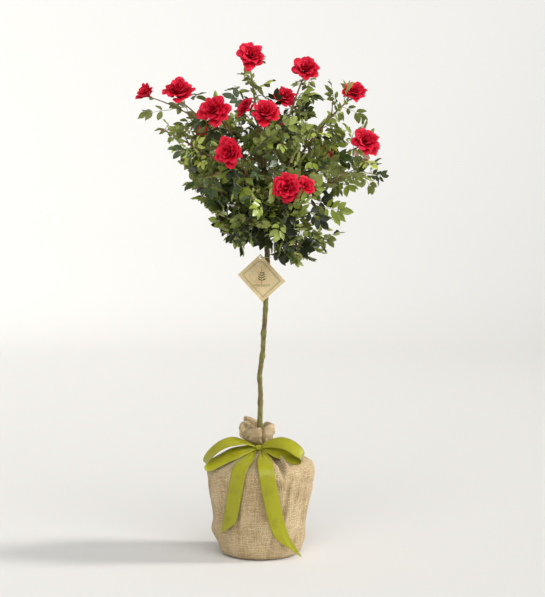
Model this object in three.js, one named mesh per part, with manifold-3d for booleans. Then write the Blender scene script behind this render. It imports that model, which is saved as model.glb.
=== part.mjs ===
// A standard rose: a bush of canes and red blooms on a bare trunk, planted in a pot that stands in a
// burlap sack. The sack is drawn in at its neck by a ribbon tied in a bow, and a card tag hangs on the
// trunk. Millimetres, +Z up, +X to the right and the front towards -Y. The origin is the middle of the
// sack's flat underside.

import * as THREE from "three";
import { mergeVertices } from "three/addons/utils/BufferGeometryUtils.js";
import Module from "manifold-3d";

const wasm = await Module();
wasm.setup();

const UP = new THREE.Vector3(0, 0, 1);
const CLEAR = 0.3; // gap between pieces that touch
const GOLDEN_ANGLE = 2.39996;

// Sack, from its flat underside to the neck.
const BASE_RADIUS = 72;
const SHOULDER_RADIUS = 108;
const SHOULDER_HEIGHT = 168;
const NECK_RADIUS = 16;
const NECK_HEIGHT = 218;
const SOIL_HEIGHT = 165; // where the trunk stands, inside the sack
const SACK_COLUMNS = 32;

// Ruffle of loose cloth above the neck.
const RUFFLE_RADIUS = 35;
const RUFFLE_HEIGHT = 262;
const RUFFLE_LOBES = 5;
const RUFFLE_LEAN = 8; // its rim leans to the left

// Ribbon.
const RIBBON_WIDTH = 32;
const RIBBON_THICK = 1.2;
const KNOT = new THREE.Vector3(-5, -24, 217);

// Trunk: radii at the foot, along the bare stem and at the head that the canes leave from.
const FOOT_RADIUS = 7.5;
const TRUNK_RADIUS = 5;
const HEAD_RADIUS = 9;
const HEAD_LOW = 642;
const HEAD_TOP = 716;
const HEAD_X = 10;
const BUD_EYE_STEP = 47; // height between the swollen rings of the trunk

// Canes: a bough up to ELBOW of its length, and a mass of foliage beyond.
const ELBOW = 0.3;
const CANE_ARCH = 0.16; // rise of a cane's middle, as a share of its length
const CANE_FOOT_RADIUS = 4.2;
const CANE_ELBOW_RADIUS = 2.9;
const CANE_TIP_RADIUS = 1.3;
const TWIGS = 8; // twigs tried along each mass's stem
const TWIG_LENGTH = 68;
const TWIG_RADIUS = 1.25;

// Leaves: three broad leaflets stand for the five to seven of a real leaf.
const STALK_LENGTH = 22;
const LEAFLET_LENGTH = 37;
const LEAFLET_WIDTH = 25;
const LEAF_THICK = 1.7;
const LEAF_SCALES = [1, 0.75]; // sizes tried where a leaf grows
const LEAF_SPACING = 26; // least distance between the middles of two leaves of a mass
const SPACE_MARGIN = 2; // half the gap kept between the spaces of two masses
const LIMB_MARGIN = 6; // gap kept from a leaf's points to any bough or the trunk

// Tag.
const TAG_LONG = 74;
const TAG_SHORT = 62;
const TAG_THICK = 1;
const TAG_TURN = -0.83; // from level to its long edge
const TAG_MIDDLE = new THREE.Vector3(1, -7, 558);
const TAG_HOLE_RADIUS = 2.6;
const TAG_HOLE_INSET = 5; // from both edges at the corner
const TIE_RADIUS = 0.7;

// Each bloom: where its middle is, as a bearing round the head, a distance out and a height, its
// diameter, and the way it faces: nod degrees from upright, towards a bearing.
const bloom = (bearing, out, height, size, nod, towards) =>
  ({ bearing, out, height, size, nod, towards });

// The canes, each with its name and where its tip is.
// A cane with blooms ends under the first of them, and the second has a stalk of its own.
const canes = [
  { name: "left_high",
    blooms: [bloom(190, 175, 928, 57, 20, 250), bloom(185, 236, 923, 27, 62, 190)] },
  { name: "left_middle", bearing: 187, out: 205, height: 852 },
  { name: "left_low", bearing: 198, out: 140, height: 742 },
  { name: "upper_left", blooms: [bloom(221, 136, 891, 61, 72, 258)] },
  { name: "top_left", blooms: [bloom(162, 31, 1003, 53, 62, 300)] },
  { name: "top_front",
    blooms: [bloom(269, 80, 886, 56, 50, 275), bloom(236, 74, 898, 43, 58, 215)] },
  { name: "top_right",
    blooms: [bloom(14, 82, 978, 57, 38, 275), bloom(46, 54, 922, 46, 34, 330)] },
  { name: "right_high", blooms: [bloom(353, 177, 929, 48, 48, 290)] },
  { name: "right_middle", blooms: [bloom(348, 201, 830, 57, 70, 295)] },
  { name: "right_low", bearing: 352, out: 200, height: 768 },
  { name: "front_right",
    blooms: [bloom(285, 155, 740, 57, 84, 272), bloom(299, 160, 744, 38, 78, 300)] },
  { name: "front_left", blooms: [bloom(243, 157, 808, 57, 75, 255)] },
  { name: "low_right", bearing: 322, out: 96, height: 622 },
  { name: "low_left", bearing: 220, out: 106, height: 652 },
  { name: "low_front", bearing: 272, out: 98, height: 698 },
  { name: "back_left", blooms: [bloom(135, 176, 850, 56, 50, 130)] },
  { name: "back_middle", blooms: [bloom(84, 168, 872, 54, 48, 88)] },
  { name: "back_right", blooms: [bloom(42, 180, 812, 56, 62, 45)] },
  { name: "back_low", blooms: [bloom(102, 158, 724, 52, 76, 100)] },
  { name: "left_back", bearing: 161, out: 168, height: 772 },
];

// ---------------------------------------------------------------- helpers

const rad = THREE.MathUtils.degToRad;
const lerp = THREE.MathUtils.lerp;

// A repeatable number from 0 to 1 for a set of whole-number keys.
function chance(...keys) {
  let mix = 2166136261;
  for (const key of keys) {
    mix = Math.imul(mix ^ (key + 1), 16777619) >>> 0;
    mix = Math.imul(mix ^ (mix >>> 15), 2246822519) >>> 0;
    mix = (mix ^ (mix >>> 13)) >>> 0;
  }
  return mix / 4294967296;
}

// Straight-line reading of a list of [at, value] pairs.
function along(pairs, at) {
  const last = pairs.findIndex(([place]) => place >= at);
  if (last < 0) return pairs[pairs.length - 1][1];
  if (last === 0) return pairs[0][1];
  const [[a, low], [b, high]] = [pairs[last - 1], pairs[last]];
  return lerp(low, high, (at - a) / (b - a));
}

// A point at a bearing and distance from the head's axis, and at a height.
function around(bearing, out, height) {
  const turn = rad(bearing);
  return new THREE.Vector3(HEAD_X + out * Math.cos(turn), out * Math.sin(turn), height);
}

// A unit vector square to another one, turned round it.
function sideways(heading, turn) {
  const level = new THREE.Vector3().crossVectors(heading, UP);
  if (level.length() < 0.05) level.set(1, 0, 0);
  level.normalize();
  const steep = new THREE.Vector3().crossVectors(level, heading).normalize();
  return level.multiplyScalar(Math.cos(turn)).addScaledVector(steep, Math.sin(turn));
}

function indexed(positions, faces) {
  const geometry = new THREE.BufferGeometry();
  geometry.setAttribute("position", new THREE.Float32BufferAttribute(positions, 3));
  geometry.setIndex(faces);
  return geometry;
}

// A closed tube through rings of points, with flat ends.
function loft(rings) {
  const sides = rings[0].length;
  const positions = rings.flat().flatMap((p) => [p.x, p.y, p.z]);
  const faces = [];
  for (let ring = 0; ring + 1 < rings.length; ring++)
    for (let side = 0; side < sides; side++) {
      const next = (side + 1) % sides;
      const [a, b] = [ring * sides + side, ring * sides + next];
      faces.push(a, b, b + sides, a, b + sides, a + sides);
    }
  const top = (rings.length - 1) * sides;
  for (let side = 1; side + 1 < sides; side++) {
    faces.push(0, side + 1, side);
    faces.push(top, top + side, top + side + 1);
  }
  return indexed(positions, faces);
}

// A round limb along points, with a radius at each of them.
function limb(points, radii, sides) {
  const across = sideways(points[1].clone().sub(points[0]).normalize(), 0);
  const rings = points.map((point, i) => {
    const before = points[Math.max(i - 1, 0)];
    const after = points[Math.min(i + 1, points.length - 1)];
    const heading = after.clone().sub(before).normalize();
    across.addScaledVector(heading, -across.dot(heading)).normalize();
    const other = new THREE.Vector3().crossVectors(heading, across);
    return Array.from({ length: sides }, (_, side) => {
      const turn = (2 * Math.PI * side) / sides;
      return point.clone()
        .addScaledVector(across, radii[i] * Math.cos(turn))
        .addScaledVector(other, radii[i] * Math.sin(turn));
    });
  });
  return loft(rings);
}

// A lathe-turned body about the Z axis, from [radius, height] pairs that start and end on the axis.
function turned(profile, columns) {
  const outline = profile.map(([radius, height]) => new THREE.Vector2(radius, height));
  return new THREE.LatheGeometry(outline, columns).rotateX(Math.PI / 2);
}

// Moves each point of a geometry by a function of its place.
function reshaped(geometry, change) {
  const place = geometry.getAttribute("position");
  const point = new THREE.Vector3();
  for (let i = 0; i < place.count; i++) {
    point.fromBufferAttribute(place, i);
    change(point);
    place.setXYZ(i, point.x, point.y, point.z);
  }
  return geometry;
}

function solid(geometry) {
  const bare = geometry.clone();
  bare.deleteAttribute("normal");
  bare.deleteAttribute("uv");
  const merged = mergeVertices(bare, 1e-4);
  return new wasm.Manifold(new wasm.Mesh({
    numProp: 3,
    vertProperties: merged.getAttribute("position").array,
    triVerts: new Uint32Array(merged.index.array),
  }));
}

// The largest body of a solid as a geometry, which drops loose scraps.
function geometryOf(shape) {
  const bodies = shape.decompose().sort((a, b) => b.volume() - a.volume());
  const mesh = bodies[0].getMesh();
  return indexed(Array.from(mesh.vertProperties), Array.from(mesh.triVerts));
}

// ---------------------------------------------------------------- materials

const paint = (color, roughness) =>
  new THREE.MeshStandardMaterial({ color, roughness, metalness: 0 });

const burlap = paint("#c0a070", 0.95);
const ribbonGreen = paint("#a2aa2c", 0.45);
const kraft = paint("#d3bd8d", 0.85);
const twine = paint("#d9cdb2", 0.9);
const bark = paint("#7d7540", 0.75);
const cane = paint("#5d5a34", 0.7);
const foliage = paint("#46582a", 0.5);

const root = new THREE.Group();

function add(name, geometry, material) {
  const mesh = new THREE.Mesh(geometry, material);
  mesh.name = name;
  root.add(mesh);
}

// ---------------------------------------------------------------- trunk

// The trunk wanders a little to each side as it climbs: [height, offset].
const trunkLean = [
  [SOIL_HEIGHT, -1.5], [268, -2.2], [325, -1.2], [362, -3], [412, 3.9], [453, 5.9],
  [493, 8.9], [598, 12.6], [650, 11], [HEAD_TOP, HEAD_X],
];
const trunkDepth = [[SOIL_HEIGHT, 0], [330, 1.5], [420, -1], [540, 0.5], [650, 0], [HEAD_TOP, 0]];
const trunkGirth = [
  [SOIL_HEIGHT, FOOT_RADIUS], [215, 6.2], [270, 5.6], [330, TRUNK_RADIUS], [600, 5.2],
  [HEAD_LOW, 6.4], [HEAD_LOW + 18, HEAD_RADIUS], [HEAD_TOP - 12, HEAD_RADIUS], [HEAD_TOP, 6],
];

function trunkMiddle(height) {
  return new THREE.Vector3(along(trunkLean, height), along(trunkDepth, height), height);
}

function trunkRadius(height) {
  const eye = (height / BUD_EYE_STEP) % 1;
  const swelling = 0.7 * Math.exp(-(((eye - 0.5) / 0.12) ** 2));
  return along(trunkGirth, height) + (height < HEAD_LOW ? swelling : 0);
}

function trunkGeometry(grown) {
  const steps = 26;
  const heights = Array.from({ length: steps + 1 }, (_, i) => lerp(SOIL_HEIGHT, HEAD_TOP, i / steps));
  const points = heights.map(trunkMiddle);
  points[0].z -= grown;
  points[steps].z += grown;
  return limb(points, heights.map((height) => trunkRadius(height) + grown), 8);
}

const trunkRoom = solid(trunkGeometry(CLEAR));
add("trunk", trunkGeometry(0), bark);

// ---------------------------------------------------------------- sack and ruffle

const sackProfile = [
  [BASE_RADIUS, 0], [80, 4], [84, 14], [88, 38], [92, 72], [97, 108], [103, 142],
  [SHOULDER_RADIUS, SHOULDER_HEIGHT], [103, 182], [87, 192], [62, 200], [40, 206],
  [24, 210], [NECK_RADIUS, 212],
];

// How far the cloth stands out from the turned profile at an angle and height.
function clothFold(angle, height) {
  const waves = 0.45 * Math.sin(3 * angle + 0.6) + 0.35 * Math.sin(7 * angle + 1.9)
    + 0.3 * Math.sin(11 * angle + 0.4);
  const reach = along([[0, 0.6], [30, 2], [150, 4], [185, 3], [205, 1], [211, 0]], height);
  const fromCorner = Math.cos(angle - rad(186));
  const corner = 9 * Math.max(fromCorner, 0) ** 10 * Math.exp(-(((height - 46) / 17) ** 2));
  return waves * reach + corner;
}

// Pleats that run from the shoulder in to the neck lift and sink the top of the sack.
function pleat(angle, radius) {
  const depth = along([[NECK_RADIUS, 0], [26, 1.4], [50, 4], [85, 3], [104, 0]], radius);
  return depth * Math.sin(13 * angle + 1.2 * Math.sin(3 * angle));
}

function clothPoint(angle, radius, height) {
  const out = radius + clothFold(angle, height);
  const rise = height > SHOULDER_HEIGHT + 8 ? pleat(angle, radius) : 0;
  return new THREE.Vector3(out * Math.cos(angle), out * Math.sin(angle), height + rise);
}

function sackGeometry() {
  const geometry = turned([[0, 0], ...sackProfile, [NECK_RADIUS, NECK_HEIGHT], [0, NECK_HEIGHT]],
    SACK_COLUMNS);
  reshaped(geometry, (point) => {
    const radius = Math.hypot(point.x, point.y);
    if (radius > 1) point.copy(clothPoint(Math.atan2(point.y, point.x), radius, point.z));
  });
  return geometryOf(solid(geometry).subtract(trunkRoom));
}

function ruffleGeometry() {
  const low = NECK_HEIGHT + CLEAR;
  const profile = [
    [0, low], [NECK_RADIUS, low], [NECK_RADIUS, low + 6], [23, 234], [31, 247],
    [RUFFLE_RADIUS, RUFFLE_HEIGHT], [30, RUFFLE_HEIGHT + 1], [22, 252], [11, 246], [0, 246],
  ];
  const geometry = reshaped(turned(profile, 30), (point) => {
    const radius = Math.hypot(point.x, point.y);
    if (radius < 1) return;
    const angle = Math.atan2(point.y, point.x);
    const share = Math.max(0, (point.z - low - 8) / (RUFFLE_HEIGHT - low - 8));
    const lobe = Math.sin(RUFFLE_LOBES * angle + 0.9) + 0.5 * Math.sin(3 * angle + 2);
    const grow = 1 + 0.13 * lobe * share * (radius / RUFFLE_RADIUS);
    point.x = point.x * grow - RUFFLE_LEAN * share;
    point.y *= grow;
    const lift = 4 * Math.sin(3 * angle - 0.4) + 5 * Math.sin(angle) - 8 * Math.cos(angle);
    point.z += share * (radius / RUFFLE_RADIUS) * lift;
  });
  return geometryOf(solid(geometry).subtract(trunkRoom));
}

add("burlap_sack", sackGeometry(), burlap);
add("burlap_ruffle", ruffleGeometry(), burlap);

// ---------------------------------------------------------------- ribbon

// A strip of ribbon along points, with the way its width runs and how much of it shows at each.
function strip(stations) {
  const rings = stations.map(({ point, width, share = 1 }, i) => {
    const before = stations[Math.max(i - 1, 0)].point;
    const after = stations[Math.min(i + 1, stations.length - 1)].point;
    const heading = after.clone().sub(before).normalize();
    const wide = width.clone().addScaledVector(heading, -width.dot(heading)).normalize();
    const thick = new THREE.Vector3().crossVectors(heading, wide);
    return [[-1, -1], [1, -1], [1, 1], [-1, 1]].map(([across, through]) =>
      point.clone()
        .addScaledVector(wide, (across * share * RIBBON_WIDTH) / 2)
        .addScaledVector(thick, (through * RIBBON_THICK) / 2));
  });
  return loft(rings);
}

// A bow's loop: out along its upper run, round its end and back along its lower one.
function bowLoop(side, foot, reach, rise, drop, swell) {
  const steps = 18;
  const width = new THREE.Vector3(0.1 * side, 0.8, 0.6);
  const stations = Array.from({ length: steps + 1 }, (_, i) => {
    const turn = lerp(0.07, 0.93, i / steps) * 2 * Math.PI;
    const out = (1 - Math.cos(turn)) / 2;
    const height = Math.sin(turn) * swell * Math.sqrt(out) + rise * Math.sin(Math.PI * out) - drop * out * out;
    const point = new THREE.Vector3(
      KNOT.x + side * (foot + (reach - foot) * out), KNOT.y + 0.5 - 38 * out, KNOT.z + 1.5 + height);
    return { point, width, share: lerp(0.35, 1, Math.min(1, 2.6 * out)) };
  });
  return strip(stations);
}

// A tail runs over the top of the sack from the knot and hangs down its front: stations of
// [distance from the axis, height, x, share of the ribbon's width].
function ribbonTail(route) {
  return strip(route.map(([radius, height, x, share]) => {
    const angle = -Math.acos(x / radius);
    const point = new THREE.Vector3(x, radius * Math.sin(angle), height);
    return { point, width: new THREE.Vector3(-Math.sin(angle), Math.cos(angle), 0), share };
  }));
}

const bandProfile = [
  [NECK_RADIUS + CLEAR, NECK_HEIGHT - 4], [NECK_RADIUS + 2, NECK_HEIGHT - 4],
  [NECK_RADIUS + 2, NECK_HEIGHT + 5], [NECK_RADIUS + CLEAR, NECK_HEIGHT + 5],
  [NECK_RADIUS + CLEAR, NECK_HEIGHT - 4],
];
add("ribbon_band", turned(bandProfile, 20), ribbonGreen);
add("ribbon_knot", new THREE.SphereGeometry(7, 12, 8).scale(1.15, 0.72, 1)
  .translate(KNOT.x, KNOT.y + 0.2, KNOT.z + 0.8), ribbonGreen);
add("ribbon_loop_left", bowLoop(-1, 2.8, 110, 9, 22, 14), ribbonGreen);
add("ribbon_loop_right", bowLoop(1, 4.2, 84, 10, 9, 15), ribbonGreen);
add("ribbon_tail_left", ribbonTail([
  [31, 210.4, -11, 0.25], [40, 208.4, -16, 0.4], [54, 205.2, -22, 0.65], [78, 199, -31, 1],
  [98, 193, -38, 1], [110, 181, -43, 1], [111.2, 160, -47, 1], [108.6, 130, -53, 1],
  [105, 100, -58, 1], [102, 72, -64, 1], [101, 56, -68, 0.5],
]), ribbonGreen);
add("ribbon_tail_right", ribbonTail([
  [31, 211, 0.5, 0.25], [40, 209.5, 3, 0.4], [54, 206.8, 4.5, 0.65], [78, 201.4, 7, 0.95],
  [99, 194.6, 9, 1], [111.6, 181, 12, 1], [113.4, 160, 15, 1], [111, 130, 21, 1], [108, 100, 27, 1],
  [106, 70, 34, 1], [104, 44, 45, 0.9], [100, 20, 60, 0.6], [98, 4, 72, 0.1],
]), ribbonGreen);

// ---------------------------------------------------------------- tag and its tie

function tagGeometry() {
  const [long, short] = [TAG_LONG / 2, TAG_SHORT / 2];
  const card = new THREE.Shape([
    new THREE.Vector2(-long, -short), new THREE.Vector2(long, -short),
    new THREE.Vector2(long, short), new THREE.Vector2(-long, short),
  ]);
  const hole = new THREE.Path();
  hole.absarc(-long + TAG_HOLE_INSET, short - TAG_HOLE_INSET, TAG_HOLE_RADIUS, 0, 2 * Math.PI, true);
  card.holes.push(hole);
  return new THREE.ExtrudeGeometry(card, { depth: TAG_THICK, bevelEnabled: false, curveSegments: 6 })
    .rotateZ(TAG_TURN)
    .rotateX(Math.PI / 2)
    .translate(TAG_MIDDLE.x, TAG_MIDDLE.y + TAG_THICK, TAG_MIDDLE.z);
}

// The middle of the tag's hole.
function tagHole() {
  const [x, z] = [-TAG_LONG / 2 + TAG_HOLE_INSET, TAG_SHORT / 2 - TAG_HOLE_INSET];
  const [cos, sin] = [Math.cos(TAG_TURN), Math.sin(TAG_TURN)];
  return new THREE.Vector3(
    TAG_MIDDLE.x + x * cos - z * sin, TAG_MIDDLE.y + TAG_THICK / 2, TAG_MIDDLE.z + x * sin + z * cos);
}

// A loop of twine through the hole and round the trunk.
function tieGeometry() {
  const hole = tagHole();
  const middle = trunkMiddle(hole.z);
  const room = trunkRadius(hole.z) + TIE_RADIUS + 2 * CLEAR;
  const across = middle.clone().sub(hole).setZ(0);
  const [half, toward] = [(across.length() + room) / 2, across.clone().normalize()];
  const centre = hole.clone().addScaledVector(toward, half);
  const other = new THREE.Vector3(-toward.y, toward.x, 0);
  const narrow = Math.sqrt(half * room) + 0.4;
  const steps = 20;
  const rings = Array.from({ length: steps }, (_, i) => {
    const turn = (2 * Math.PI * i) / steps;
    const point = centre.clone()
      .addScaledVector(toward, -half * Math.cos(turn))
      .addScaledVector(other, narrow * Math.sin(turn));
    const out = toward.clone().multiplyScalar(-Math.cos(turn) * narrow)
      .addScaledVector(other, Math.sin(turn) * half).normalize();
    return [0, 1, 2, 3].map((corner) => point.clone()
      .addScaledVector(out, TIE_RADIUS * Math.cos((corner * Math.PI) / 2))
      .addScaledVector(UP, TIE_RADIUS * Math.sin((corner * Math.PI) / 2)));
  });
  const faces = [];
  rings.forEach((_, i) => {
    for (let corner = 0; corner < 4; corner++) {
      const [a, b] = [i * 4 + corner, i * 4 + ((corner + 1) % 4)];
      const [c, d] = [((i + 1) % steps) * 4 + corner, ((i + 1) % steps) * 4 + ((corner + 1) % 4)];
      faces.push(a, b, d, a, d, c);
    }
  });
  return indexed(rings.flat().flatMap((p) => [p.x, p.y, p.z]), faces);
}

add("tag", tagGeometry(), kraft);
add("tag_tie", tieGeometry(), twine);

// ---------------------------------------------------------------- canes

// The way a bloom faces, and the foot of its cup, where its stalk ends.
function facing({ nod, towards }) {
  const [tilt, turn] = [rad(nod), rad(towards)];
  return new THREE.Vector3(
    Math.sin(tilt) * Math.cos(turn), Math.sin(tilt) * Math.sin(turn), Math.cos(tilt));
}

function cupFoot(flower) {
  return around(flower.bearing, flower.out, flower.height)
    .addScaledVector(facing(flower), -0.42 * flower.size);
}

// Canes that end low leave the head low, and the steeper ones above them.
const bySteepness = [...canes].sort((a, b) => steepness(a) - steepness(b));

function steepness({ out, height, blooms }) {
  return blooms ? (blooms[0].height - HEAD_LOW) / blooms[0].out : (height - HEAD_LOW) / out;
}

canes.forEach((shoot, key) => {
  const rank = bySteepness.indexOf(shoot) / (canes.length - 1);
  const foot = trunkMiddle(lerp(HEAD_LOW + 10, HEAD_TOP - 8, rank));
  const tip = shoot.blooms ? cupFoot(shoot.blooms[0]) : around(shoot.bearing, shoot.out, shoot.height);
  const bend = foot.clone().lerp(tip, 0.5).addScaledVector(UP, CANE_ARCH * foot.distanceTo(tip));
  shoot.key = key;
  shoot.curve = new THREE.QuadraticBezierCurve3(foot, bend, tip);
  shoot.stalks = (shoot.blooms ?? []).slice(1).map((flower) => {
    const start = shoot.curve.getPoint(0.66);
    const end = cupFoot(flower);
    const knee = start.clone().lerp(end, 0.5).addScaledVector(UP, 0.1 * start.distanceTo(end));
    return new THREE.QuadraticBezierCurve3(start, knee, end);
  });
});

// Points that claim the room round them for one mass: along its stem and its bloom stalks.
const sites = canes.flatMap((shoot) => {
  const stem = [0, 0.2, 0.4, 0.6, 0.8, 1].map((t) => shoot.curve.getPoint(lerp(ELBOW, 1, t)));
  const stalks = shoot.stalks.flatMap((curve) => [0.35, 0.7, 1].map((t) => curve.getPoint(t)));
  const heads = (shoot.blooms ?? []).map((b) => around(b.bearing, b.out, b.height));
  return [...stem, ...stalks, ...heads].map((point) => ({ point, key: shoot.key }));
});

// The crown's own outline: how low and how high it reaches at a distance from the head's axis.
const crownFloor = [
  [0, 640], [40, 622], [72, 590], [88, 574], [112, 580], [150, 615], [240, 680], [272, 780], [278, 860],
];
const crownRoof = [[0, 1030], [90, 1006], [175, 958], [240, 938], [270, 905], [278, 860]];

function insideCrown(point) {
  const out = Math.hypot(point.x - HEAD_X, point.y);
  return out < 276 && point.z > along(crownFloor, out) && point.z < along(crownRoof, out);
}

function keepsToItself(point, key) {
  if (!insideCrown(point)) return false;
  let own = Infinity;
  let other = Infinity;
  for (const site of sites) {
    const gap = site.point.distanceTo(point);
    if (site.key === key) own = Math.min(own, gap);
    else other = Math.min(other, gap);
  }
  return own + 2 * SPACE_MARGIN < other;
}

function curveRun(curve, from, to, steps) {
  return Array.from({ length: steps + 1 }, (_, i) => curve.getPoint(lerp(from, to, i / steps)));
}

// Every limb that foliage keeps clear of, as short straight runs with a radius.
const limbRuns = canes.flatMap((shoot) => {
  const points = curveRun(shoot.curve, 0, ELBOW, 5);
  return points.slice(1).map((end, i) => ({ line: new THREE.Line3(points[i], end), radius: 4 }));
});
for (let height = 490; height < HEAD_TOP; height += 25) {
  const line = new THREE.Line3(trunkMiddle(height), trunkMiddle(height + 25));
  limbRuns.push({ line, radius: height + 25 > HEAD_LOW ? HEAD_RADIUS : 6 });
}

function clearOfLimbs(point, margin) {
  const nearest = new THREE.Vector3();
  return limbRuns.every(({ line, radius }) =>
    line.closestPointToPoint(point, true, nearest).distanceTo(point) > radius + margin);
}

// ---------------------------------------------------------------- foliage

// One leaf as a single blade of three lobes, folded along their middles, round the point its lobes
// spread from: [angle from its heading, distance in leaflet lengths, rise in leaflet lengths].
const leafOutline = [[180, STALK_LENGTH / LEAFLET_LENGTH, 0], [-125, 0.12, 0]];
for (const [axis, reach] of [[-60, 1], [0, 1.2], [60, 1]]) {
  const halfWidth = THREE.MathUtils.radToDeg(Math.asin(LEAFLET_WIDTH / LEAFLET_LENGTH / 2 / (0.6 * reach)));
  leafOutline.push([axis - halfWidth, 0.6 * reach, 0.08], [axis, reach, -0.06]);
  leafOutline.push([axis + halfWidth, 0.6 * reach, 0.08]);
}
leafOutline.push([125, 0.12, 0]);

// Adds a leaf that leaves its twig at start, and skips it where it would leave the mass's space or
// come near a limb.
function leaf(pieces, hubs, key, start, heading, normal, scale = 1) {
  const long = LEAFLET_LENGTH * scale;
  const hub = start.clone().addScaledVector(heading, (STALK_LENGTH - 0.8) * scale);
  const side = new THREE.Vector3().crossVectors(normal, heading).normalize();
  const outline = leafOutline.map(([turn, reach, rise]) => hub.clone()
    .addScaledVector(heading, Math.cos(rad(turn)) * reach * long)
    .addScaledVector(side, Math.sin(rad(turn)) * reach * long)
    .addScaledVector(normal, rise * long));
  const fits = (point) => keepsToItself(point, key) && clearOfLimbs(point, LIMB_MARGIN);
  if (![hub, ...outline.slice(1)].every(fits)) return false;
  if (hubs.some((other) => other.distanceTo(hub) < LEAF_SPACING)) return false;
  hubs.push(hub);
  const [over, under] = [0.5, -0.5].map((share) =>
    hub.clone().addScaledVector(normal, share * LEAF_THICK));
  const [top, count] = [outline.length, outline.length];
  const faces = outline.flatMap((_, i) => {
    const next = (i + 1) % count;
    return [top, i, next, top + 1, next, i];
  });
  pieces.push(indexed([...outline, over, under].flatMap((p) => [p.x, p.y, p.z]), faces));
  return true;
}

// A twig of a shoot: where it leaves the stem, its way and its length.
function twigOf(shoot, order) {
  const t = lerp(ELBOW + 0.03, 0.97, (order + 0.5 * chance(shoot.key, order, 1)) / TWIGS);
  const start = shoot.curve.getPoint(t);
  const stem = shoot.curve.getTangent(t);
  const turn = order * GOLDEN_ANGLE + 1.7 * shoot.key;
  const heading = stem.multiplyScalar(0.55).addScaledVector(sideways(stem.clone().normalize(), turn), 0.8)
    .addScaledVector(UP, 0.1).normalize();
  const length = TWIG_LENGTH * lerp(1.15, 0.6, (t - ELBOW) / (1 - ELBOW))
    * lerp(0.8, 1.2, chance(shoot.key, order, 2));
  return { t, turn, start, heading, length };
}

// The side of a leaf that faces the light: up and away from the crown's middle.
const CROWN_MIDDLE = new THREE.Vector3(HEAD_X, 0, 770);
function lightSide(point, heading, jitter) {
  const outward = point.clone().sub(CROWN_MIDDLE).normalize();
  const normal = UP.clone().multiplyScalar(0.55).addScaledVector(outward, 1);
  normal.addScaledVector(sideways(heading, jitter * 2 * Math.PI), 0.5);
  normal.addScaledVector(heading, -normal.dot(heading));
  return normal.normalize();
}

// A twig with its leaves in a flat spray, to one side, the other and the end. It is left out where
// it would leave the mass's space, or stay bare.
function leafyTwig(pieces, hubs, shoot, order, { start, heading, length }) {
  const end = start.clone().addScaledVector(heading, length);
  const inside = (point) => keepsToItself(point, shoot.key) && clearOfLimbs(point, 3);
  if (![start.clone().lerp(end, 0.5), end].every(inside)) return false;
  const face = lightSide(end, heading, chance(shoot.key, order, 3));
  const across = new THREE.Vector3().crossVectors(face, heading).normalize();
  const grown = [];
  for (const [share, hand] of [[0.3, -1], [0.62, 1], [1, 0]]) {
    const from = start.clone().lerp(end, share);
    const way = heading.clone().addScaledVector(across, 2 * hand).addScaledVector(UP, -0.1);
    way.addScaledVector(face, -way.dot(face)).normalize();
    LEAF_SCALES.some((scale) => leaf(grown, hubs, shoot.key, from, way, face, scale));
  }
  if (grown.length === 0) return false;
  pieces.push(limb([start, end], [TWIG_RADIUS, 0.8 * TWIG_RADIUS], 3), ...grown);
  return true;
}

// A bloom: a scalloped cup with a domed middle.
function bloomSolid(flower) {
  const radius = flower.size / 2;
  const profile = [[0, -0.84], [0.72, -0.4], [1, 0.1], [0.7, 0.16], [0.62, 0.5], [0.28, 0.52], [0, 0.4]]
    .map(([out, rise]) => [out * radius, rise * radius]);
  const columns = 8;
  const geometry = reshaped(turned(profile, columns), (point) => {
    const column = Math.round(((Math.atan2(point.y, point.x) / Math.PI + 0.5) / 2) * columns);
    const notch = 1 - 0.14 * Math.abs(column % 2) * Math.min(1, Math.hypot(point.x, point.y) / radius);
    point.x *= notch;
    point.y *= notch;
  });
  const turn = new THREE.Quaternion().setFromUnitVectors(UP, facing(flower));
  return geometry.applyQuaternion(turn)
    .translate(...around(flower.bearing, flower.out, flower.height).toArray());
}

function massGeometry(shoot) {
  const pieces = [];
  const hubs = [];
  const gap = CLEAR / shoot.curve.getPoint(ELBOW).distanceTo(shoot.curve.getPoint(ELBOW + 0.01)) / 100;
  const steps = 6;
  const stem = curveRun(shoot.curve, ELBOW + gap, 1, steps);
  const radii = stem.map((_, i) => lerp(CANE_ELBOW_RADIUS, CANE_TIP_RADIUS, i / steps));
  if (shoot.blooms) stem[steps].addScaledVector(facing(shoot.blooms[0]), 4);
  pieces.push(limb(stem, radii, 3));
  shoot.stalks.forEach((curve, i) => {
    const run = curveRun(curve, 0, 1, 3);
    run[3].addScaledVector(facing(shoot.blooms[i + 1]), 3);
    pieces.push(limb(run, run.map(() => TWIG_RADIUS), 3));
    const from = curve.getPoint(0.5);
    const way = sideways(curve.getTangent(0.5), chance(shoot.key, 90 + i) * 6);
    leaf(pieces, hubs, shoot.key, from, way, lightSide(from, way, 0.4));
  });
  for (const flower of shoot.blooms ?? []) pieces.push(bloomSolid(flower));
  for (let order = 0; order < TWIGS; order++) {
    const twig = twigOf(shoot, order);
    const tries = [1, 0.7, 0.45].map((share) => ({ ...twig, length: share * twig.length }));
    tries.some((shorter) => leafyTwig(pieces, hubs, shoot, order, shorter));
    const way = sideways(shoot.curve.getTangent(twig.t).normalize(), twig.turn + Math.PI)
      .addScaledVector(UP, 0.3).normalize();
    const face = lightSide(twig.start, way, chance(shoot.key, order, 5));
    leaf(pieces, hubs, shoot.key, twig.start, way, face);
  }
  if (!shoot.blooms) {
    const way = shoot.curve.getTangent(1);
    leaf(pieces, hubs, shoot.key, shoot.curve.getPoint(0.99), way, lightSide(stem[steps], way, 0.3));
  }
  return geometryOf(pieces.map(solid).reduce((whole, piece) => whole.add(piece)));
}

// ---------------------------------------------------------------- boughs

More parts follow.
